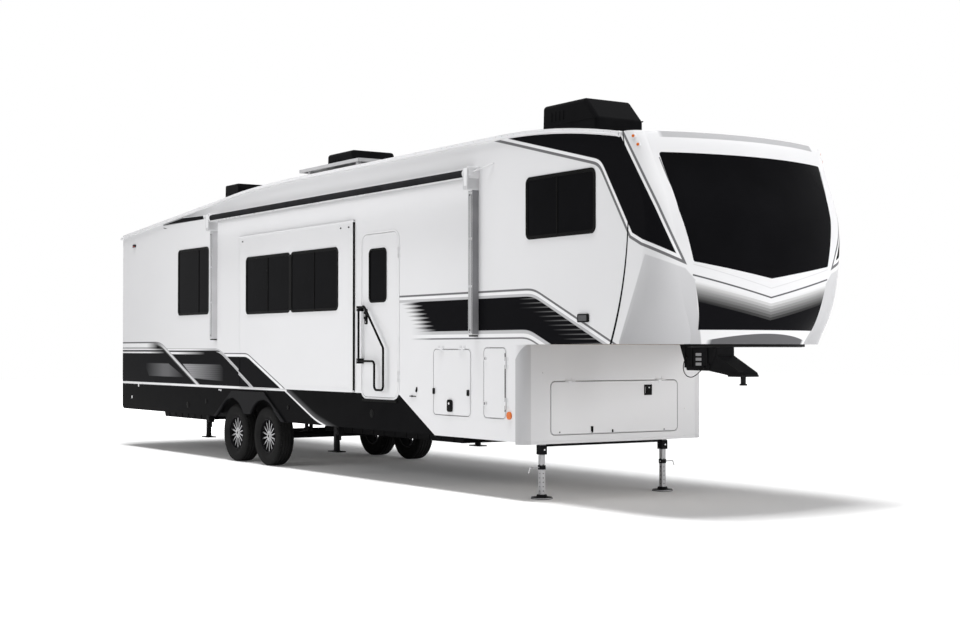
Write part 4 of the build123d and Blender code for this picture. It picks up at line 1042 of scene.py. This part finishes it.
def awning():
    """End castings, arm channels, lead rail and roller caps of the awning."""
    heads, arms, sides, darks, rail, lead = (Shape(-1) for _ in range(6))
    for x, way in ((-3.008, -1), (3.628, 1)):
        heads.plate([(x + dx, z) for dx, z in HEAD], 1.2195, 1.352)
        heads.plate([(x + dx, z) for dx, z in HEAD_FACE], 1.352, 1.366)
        for start, end, radius, end_radius in ((-0.046, -0.062, 0.050, None), (0.046, 0.052, 0.036, 0.030)):
            ends = [(x + way * dx, ROLLER_Y, ROLLER_Z) for dx in (start, end)]
            heads.rod(*ends, radius, end_radius, sides=40)
        arms.box((x - 0.0355, 1.300, 1.695), (x - 0.027, 1.3035, 3.21))
        arms.box((x + 0.027, 1.300, 1.695), (x + 0.0355, 1.3035, 3.21))
        arms.box((x - 0.012, 1.2995, 1.72), (x + 0.012, 1.3045, 3.20))
        for z in (1.70, 2.20, 2.70, 3.18):
            arms.box((x - 0.037, 1.2195, z - 0.012), (x + 0.037, 1.3045, z + 0.012))
        # Darker grey plate on the front arm's forward side: painted shade of that side
        if way > 0:
            sides.box((x + 0.0345, 1.2205, 1.70), (x + 0.0375, 1.2985, 3.21))
        # Dark strips between the ribs are painted shade inside the arm channels; the block at each arm's
        # foot and the bolts go in the same dark piece
        darks.box((x - 0.0255, 1.299, 1.71), (x - 0.0135, 1.3008, 3.20))
        darks.box((x + 0.0135, 1.299, 1.71), (x + 0.0255, 1.3008, 3.20))
        darks.box((x - 0.034, 1.225, 1.672), (x + 0.034, 1.296, 1.700))
        for z in (1.74, 3.16):
            darks.stud(x, z, 1.3035, 1.3085, 0.008, sides=6)
    piece("awning_heads", heads, "trim_white", edge=0.005)
    piece("awning_arm_ribs", arms, "light_alloy", edge=0.001)
    piece("awning_arm_side_shade", sides, "seam_grey", edge=0.001)
    piece("awning_arm_gap_shade_and_fittings", darks, "rubber", edge=0.001)
    rail.box((-2.95, 1.219, 3.438), (3.58, 1.232, 3.456))
    rail.rod((3.67, 1.30, 3.40), (3.95, 1.224, 3.468), 0.005)
    piece("awning_wall_rail", rail, "trim_white", edge=0.002)
    lead.box((-2.95, 1.352, 3.330), (3.575, 1.364, 3.346))
    for start, end in ((-2.945, -2.93), (3.565, 3.58)):
        lead.rod((start, ROLLER_Y, ROLLER_Z), (end, ROLLER_Y, ROLLER_Z), 0.0455, sides=48)
    piece("awning_lead_rail", lead, "bright_metal", edge=0.002)


def unit_trim():
    """Grilles, seams and side slots of both air conditioners."""
    grille, seams = Shape(), Shape()
    for node in ("air_conditioner_front", "air_conditioner_middle"):
        (rear, _, _), (front, side, top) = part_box(node)
        half = side - 0.06
        for k in range(7):
            z = top - 0.13 - 0.032 * k
            grille.box((rear - 0.004, -half, z - 0.009), (rear + 0.036, half, z + 0.009))
        for way in (-1, 1):
            near, far, slot = way * (side - 0.004), way * (side + 0.004), way * (side + 0.005)
            seams.box((rear + 0.05, near, top - 0.235), (front - 0.01, far, top - 0.222))
            for k in range(4):
                x = rear + 0.16 + 0.07 * k
                seams.box((x, near, top - 0.19), (x + 0.035, slot, top - 0.09))
    piece("air_conditioner_grilles", grille, "black_housing", edge=0.002)
    piece("air_conditioner_seams", seams, "black_housing")


PANEL_BOX = (-0.92, 0.66, -0.98, -0.42)    # roof panel: rear, front, near and far side
PANEL_FOOT_Z, PANEL_TOP_Z = 3.735, 3.880


def roof_panel():
    panel, edge = Shape(), Shape()
    rear, front, near, far = PANEL_BOX
    low, top = PANEL_FOOT_Z, PANEL_TOP_Z
    panel.box((rear + 0.02, near + 0.02, top - 0.02), (front - 0.02, far - 0.02, top))
    for k in range(1, 6):
        x = rear + (front - rear) * k / 6
        edge.box((x - 0.003, near + 0.02, top - 0.001), (x + 0.003, far - 0.02, top + 0.002))
    for x0, x1, y0, y1 in (
            (rear, front, near, near + 0.025), (rear, front, far - 0.025, far),
            (rear, rear + 0.025, near, far), (front - 0.025, front, near, far)):
        edge.box((x0, y0, top - 0.035), (x1, y1, top + 0.006))
    for x in (rear + 0.15, front - 0.15):
        for y in (near + 0.08, far - 0.08):
            edge.box((x - 0.03, y - 0.02, low), (x + 0.03, y + 0.02, top - 0.015))
    piece("roof_panel", panel, "panel_face", edge=0.002)
    piece("roof_panel_frame", edge, "light_alloy", edge=0.002)


# Roof lids: x, y, height; they are squares of this half width
ROOF_LIDS = ((-5.2, 0.45, 0.055), (2.3, 0.3, 0.060), (5.2, 0.0, 0.055))
LID_HALF = 0.19
ROOF_PIPES = ((-2.6, 0.7), (0.9, 0.75), (3.0, -0.7))


def roof_things():
    """Grilles of the roof units, roof panel, lids and vent pipes."""
    unit_trim()
    roof_panel()
    lids, pipes = Shape(), Shape()
    for x, y, height in ROOF_LIDS:
        base = roof_height(x) - 0.005
        loops = []
        for share, rise in (
                (1.10, 0.0), (1.10, 0.012), (1.0, 0.014), (1.0, height * 0.6), (0.86, height),
                (0.5, height * 1.12)):
            half = LID_HALF * share
            corners = ((-half, -half), (half, -half), (half, half), (-half, half))
            loops.append([(x + dx, y + dy, base + rise) for dx, dy in corners])
        lids.loft(loops)
    piece("roof_lids", lids, "trim_white", edge=0.006)
    for x, y in ROOF_PIPES:
        base = roof_height(x) - 0.01
        for low, high, radius, end_radius in (
                (0.0, 0.025, 0.075, 0.055), (0.02, 0.085, 0.026, None), (0.085, 0.10, 0.048, 0.034)):
            pipes.rod((x, y, base + low), (x, y, base + high), radius, end_radius)
    piece("roof_pipes", pipes, "black_housing", edge=0.003)


def cap_lamps():
    """Four small amber lamps on the cap's shoulders."""
    rims, glows = Shape(), Shape()
    for way in (-1, 1):
        out = Vector((0.55, way * 0.82, 0.12)).normalized()
        for x, y, z in ((6.189, 1.202, 3.491), (6.234, 1.184, 3.409)):
            spot = Vector((x, way * y, z))
            rims.rod(spot - out * 0.012, spot + out * 0.006, 0.030, 0.024)
            glows.rod(spot - out * 0.004, spot + out * 0.012, 0.017, 0.012)
    piece("cap_lamp_rims", rims, "trim_white", edge=0.002)
    piece("cap_lamp_lenses", glows, "amber_lens", edge=0.002)


LAMP_X, LAMP_Z = 5.470, 1.836              # square lamp ahead of the entry door
MARKER_X, MARKER_Z = -6.145, 3.175         # marker lamp near the rear
HOLDBACK = ((2.405, 1.070), (2.425, 1.060), (2.440, 1.082), (2.436, 1.120), (2.424, 1.118))
SKIRT_CAPS = ((-4.00, 0.733, 0.045), (-3.342, 0.803, 0.034), (1.42, 0.79, 0.05))


def side_things():
    """Square lamp, marker, round caps and small vents on the walls."""
    face = SIDE_Y
    for side, way in SIDES:
        darks, square, marker, bits, clips, caps = (Shape(way) for _ in range(6))
        darks.slab(LAMP_X, LAMP_Z, 0.082, 0.040, 0.012, face - 0.001, face + 0.020)
        darks.slab(MARKER_X, MARKER_Z, 0.060, 0.022, 0.010, face - 0.001, face + 0.014)
        darks.stud(-0.746, 0.791, face - 0.001, face + 0.012, 0.032, 0.026)
        piece(f"{side}_wall_lamps", darks, "black_trim", edge=0.003)
        square.slab(LAMP_X, LAMP_Z, 0.064, 0.028, 0.008, face + 0.012, face + 0.0225)
        piece(f"{side}_square_lens", square, "smoke_lens", edge=0.002)
        marker.slab(MARKER_X, MARKER_Z - 0.009, 0.030, 0.007, 0.004, face + 0.010, face + 0.0165)
        piece(f"{side}_rear_marker_lens", marker, "red_lens", edge=0.001)
        bits.plate(HOLDBACK, face, face + 0.012)
        bits.box((2.275, face, 1.010), (2.410, face + 0.008, 1.020))
        bits.stud(2.33, 1.015, face, face + 0.014, 0.010)
        piece(f"{side}_holdbacks", bits, "black_trim", edge=0.002)
        for x, z in ((-5.944, 0.979), (-6.224, 0.790)):
            clips.slab(x, z, 0.016, 0.022, 0.006, face, face + 0.006)
        clips.box((-2.900, face, 0.966), (-2.870, face + 0.010, 0.982))
        clips.box((-2.840, face, 0.958), (-2.820, face + 0.010, 0.982))
        piece(f"{side}_skirt_clips", clips, "trim_white", edge=0.001)
        for x, z, radius in SKIRT_CAPS:
            caps.stud(x, z, face - 0.001, face + 0.006, radius, radius * 0.92, sides=32)
            caps.stud(x, z, face + 0.004, face + 0.010, radius * 0.6, radius * 0.5, sides=32)
        piece(f"{side}_skirt_caps", caps, "black_trim")


LEG_X = 4.229
LEG_INSET = 0.113          # leg's middle in from the outer end of the legs' box


def legs():
    """Holes, pins, brackets, cranks and round feet of the landing legs."""
    holes, black, bright = Shape(), Shape(), Shape()
    x = LEG_X
    reach = max(abs(corner[1]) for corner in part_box("landing_legs")) - LEG_INSET
    for way in (-1, 1):
        y = way * reach
        for k in range(7):
            z = 0.08 + 0.045 * k
            for face in (-1, 1):
                near, far = face * 0.0245, face * 0.0260
                holes.rod((x + near, y, z), (x + far, y, z), 0.006)
                holes.rod((x, y + near, z), (x, y + far, z), 0.006)
        black.box((x - 0.040, y - 0.040, 0.455), (x + 0.040, y + 0.040, 0.552))
        black.box((x - 0.030, y - 0.030, 0.300), (x + 0.030, y + 0.030, 0.345))
        black.rod((x, y, 0.0), (x, y, 0.020), 0.116, 0.108, sides=48)
        black.rod((x, y, 0.018), (x, y, 0.045), 0.060, 0.050, sides=32)
        bright.rod((x, y - way * 0.034, 0.322), (x, y + way * 0.150, 0.322), 0.0065)
        bright.rod((x, y + way * 0.146, 0.326), (x, y + way * 0.168, 0.270), 0.006)
        bright.rod((x + 0.038, y, 0.505), (x + 0.052, y, 0.505), 0.010, sides=6)
    piece("leg_holes", holes, "rubber", edge=0.0)
    piece("leg_brackets", black, "black_steel", edge=0.003)
    piece("leg_pins", bright, "bright_metal", edge=0.001)


PIN_BOLTS = ((5.68, 1.555), (5.96, 1.555), (6.06, 1.555), (5.72, 1.375), (5.98, 1.375))
PIN_PLATE = ((5.60, 1.580), (6.10, 1.580), (6.10, 1.49), (6.02, 1.345), (5.70, 1.345))
CABLE = (
    (5.700, -0.112, 1.470), (5.722, -0.150, 1.465), (5.728, -0.190, 1.425), (5.722, -0.200, 1.355),
    (5.755, -0.200, 1.290), (5.835, -0.200, 1.262), (5.915, -0.200, 1.290), (5.955, -0.170, 1.340),
    (5.940, -0.112, 1.375))


def pin_things():
    """Bolts, side plates, blank labels and cable loop at the pin box."""
    bolts, plates, labels = Shape(), Shape(), Shape()
    for way in (-1, 1):
        for x, z in PIN_BOLTS:
            bolts.stud(x, z, way * 0.109, way * 0.124, 0.014, sides=6)
        for x in (5.66, 5.76, 5.98):
            plates.box((x, way * 0.114, 1.36), (x + 0.012, way * 0.128, 1.575))
        for z in (1.489, 1.443, 1.396):
            labels.box((5.815, way * 0.1155, z - 0.014), (5.895, way * 0.1175, z + 0.014))
        plates.plate(PIN_PLATE, way * 0.1095, way * 0.116)
        plates.stud(6.0, 1.378, way * 0.110, way * 0.124, 0.024)
    for x in (6.28, 6.42):
        for y in (-0.07, 0.07):
            bolts.rod((x, y, 1.291), (x, y, 1.302), 0.011, sides=6)
    piece("pin_box_bolts", bolts, "black_steel", edge=0.001)
    piece("pin_box_labels", labels, "label_grey", edge=0.0005)
    piece("pin_box_plates", plates, "black_steel", edge=0.003)
    cable = bpy.data.curves.new("pin_cable", "CURVE")
    cable.dimensions = "3D"
    cable.bevel_depth = 0.0045
    cable.bevel_resolution = 4
    line = cable.splines.new("NURBS")
    line.points.add(len(CABLE) - 1)
    for point, place in zip(line.points, CABLE):
        point.co = (*place, 1.0)
    line.order_u = 3
    line.use_endpoint_u = True
    cable.materials.append(finish["rubber"])
    loop = bpy.data.objects.new("pin_cable", cable)
    bpy.context.scene.collection.objects.link(loop)
    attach(loop, "root")


# Holding tanks: rear, front, bottom; all start under the floor
TANKS = ((-0.90, 2.55, 0.475), (-6.35, -4.60, 0.470), (-4.50, -3.05, 0.540))
TANK_TOP = 0.642
# Lower edge of the cap: an arc this deep over this half width, with its foremost point
NOSE_DEEP, NOSE_HALF, NOSE_FRONT = 0.200, 0.750, 6.640


def nose_front(y):
    """How far forward the cap's lower edge reaches at a distance from the middle."""
    radius = (NOSE_DEEP ** 2 + NOSE_HALF ** 2) / (2 * NOSE_DEEP)
    return NOSE_FRONT - radius + math.sqrt(radius ** 2 - y ** 2)


def underside():
    """Holding tanks between the rails, gear boxes on the jacks, and the dark lip under the nose."""
    tanks, gears, lip = Shape(), Shape(), Shape()
    for x0, x1, low in TANKS:
        tanks.plate([(x0, TANK_TOP), (x0 + 0.07, low), (x1 - 0.07, low), (x1, TANK_TOP)], -0.64, 0.64)
        count = int((x1 - x0) / 0.25)
        for k in range(1, count):
            x = x0 + (x1 - x0) * k / count
            tanks.box((x - 0.012, -0.646, low + 0.004), (x + 0.012, 0.646, 0.635))
    piece("holding_tanks", tanks, "black_housing", edge=0.006)
    for x in (-3.635, 0.245):
        for y in (-1.05, 1.05):
            gears.box((x + 0.020, y - 0.034, 0.490), (x + 0.115, y + 0.034, 0.585))
            gears.stud(x + 0.070, 0.535, y - 0.045, y + 0.045, 0.034)
            gears.rod((x, y, 0.284), (x, y, 0.420), 0.040, 0.034)
            gears.rod((x + 0.09, y, 0.50), (x + 0.09, y, 0.42), 0.012)
    piece("jack_gears", gears, "black_steel", edge=0.003)
    loops = []
    for step in range(-20, 21):
        y = 0.735 * step / 20
        x = nose_front(y) - 0.014
        loops.append([(x, y, 1.589), (x, y, 1.563), (x - 0.05, y, 1.558), (x - 0.09, y, 1.589)])
    lip.loft(loops)
    piece("nose_lip", lip, "black_trim", edge=0.0)


def rear_things():
    """Rings of the tail lamps, plate bracket, high markers and bumper caps."""
    rims, glow, caps, ends = Shape(), Shape(), Shape(), Shape()
    wall = REAR_X
    back = wall - 0.027
    for y in (-1.02, 1.02):
        for z in (1.21, 1.39):
            rims.box((back, y - 0.056, z - 0.085), (wall, y - 0.050, z + 0.085))
            rims.box((back, y + 0.050, z - 0.085), (wall, y + 0.056, z + 0.085))
        for z in (1.480, 1.113):
            rims.box((back, y - 0.056, z), (wall, y + 0.056, z + 0.007))
    for y in (-0.35, 0.0, 0.35):
        caps.box((wall - 0.010, y - 0.045, 3.255), (wall, y + 0.045, 3.285))
        glow.box((wall - 0.017, y - 0.036, 3.260), (wall - 0.007, y + 0.036, 3.280))
    caps.box((wall - 0.010, -0.17, 1.18), (wall, 0.17, 1.34))
    piece("tail_lamp_rims", rims, "trim_white", edge=0.002)
    piece("rear_marker_lenses", glow, "red_lens", edge=0.002)
    piece("rear_fittings", caps, "black_trim", edge=0.003)
    (x, right, z), (_, left, _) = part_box("rear_bumper")
    for y in (right, left):
        ends.box((x + 0.004, y - 0.004, z + 0.004), (x + 0.096, y + 0.004, z + 0.096))
    piece("bumper_ends", ends, "rubber", edge=0.003)


# Speckled finishes: name, darker and lighter colour, roughness, and what differs from the rest
SPECKLED = (
    ("roof_skin", grey(0.56), grey(0.64), 0.6, {}),
    ("floor_board", (0.26, 0.22, 0.18), (0.34, 0.29, 0.24), 0.6, {"scale": 40.0}),
    ("black_trim", grey(0.005), grey(0.012), 0.42, {}),
    ("black_steel", grey(0.006, 0.0005), grey(0.014, 0.001), 0.45, {"bump": 0.5}),
    ("light_alloy", grey(0.50, 0.01), grey(0.60, 0.01), 0.35, {}),
    ("awning_cloth", grey(0.010, 0.001), grey(0.028, 0.002), 0.8, {"scale": 900.0}),
    ("tyre", grey(0.010), grey(0.022), 0.75, {"scale": 140.0, "bump": 0.5}),
    ("black_housing", grey(0.003, 0.0005), grey(0.007, 0.0005), 0.5, {"bump": 0.6}),
    ("trim_white", grey(0.70, 0.01), grey(0.78, 0.01), 0.35, {}),
    ("rubber", grey(0.008), grey(0.018), 0.6, {}),
    ("bright_metal", grey(0.55, 0.01), grey(0.68, 0.01), 0.28, {"metal": 0.8}),
    ("rim_edge", grey(0.010, 0.001), grey(0.020, 0.002), 0.25, {}),
    ("seam_grey", grey(0.20, 0.01), grey(0.28, 0.01), 0.5, {}),
    ("label_grey", grey(0.30, 0.01), grey(0.40, 0.01), 0.5, {}),
    ("panel_face", grey(0.24, 0.01), grey(0.30, 0.01), 0.3, {"scale": 30.0}),
)

camera()
stage()
finish = {
    "white_wall": white_wall(),
    "grey_moulding": moulding(),
    "dark_skirt": skirt_paint(),
    "dark_glass": glass(),
    "grey_steel": bare_steel(),
    "alloy_rim": rim_paint(),
    "amber_lens": lens("amber_lens", (0.75, 0.16, 0.01)),
    "red_lens": lens("red_lens", (0.45, 0.01, 0.01)),
    "smoke_lens": lens("smoke_lens", grey(0.09, 0.005)),
}
for name, low, high, rough, others in SPECKLED:
    finish[name] = speckled(name, low, high, rough, **others)
dress(finish)
for build in (
        tyres, wheel_trim, windows, entry, slide_trim, baggage, front_storage, drip_rails, awning,
        roof_things, cap_lamps, side_things, legs, pin_things, underside, rear_things):
    build()
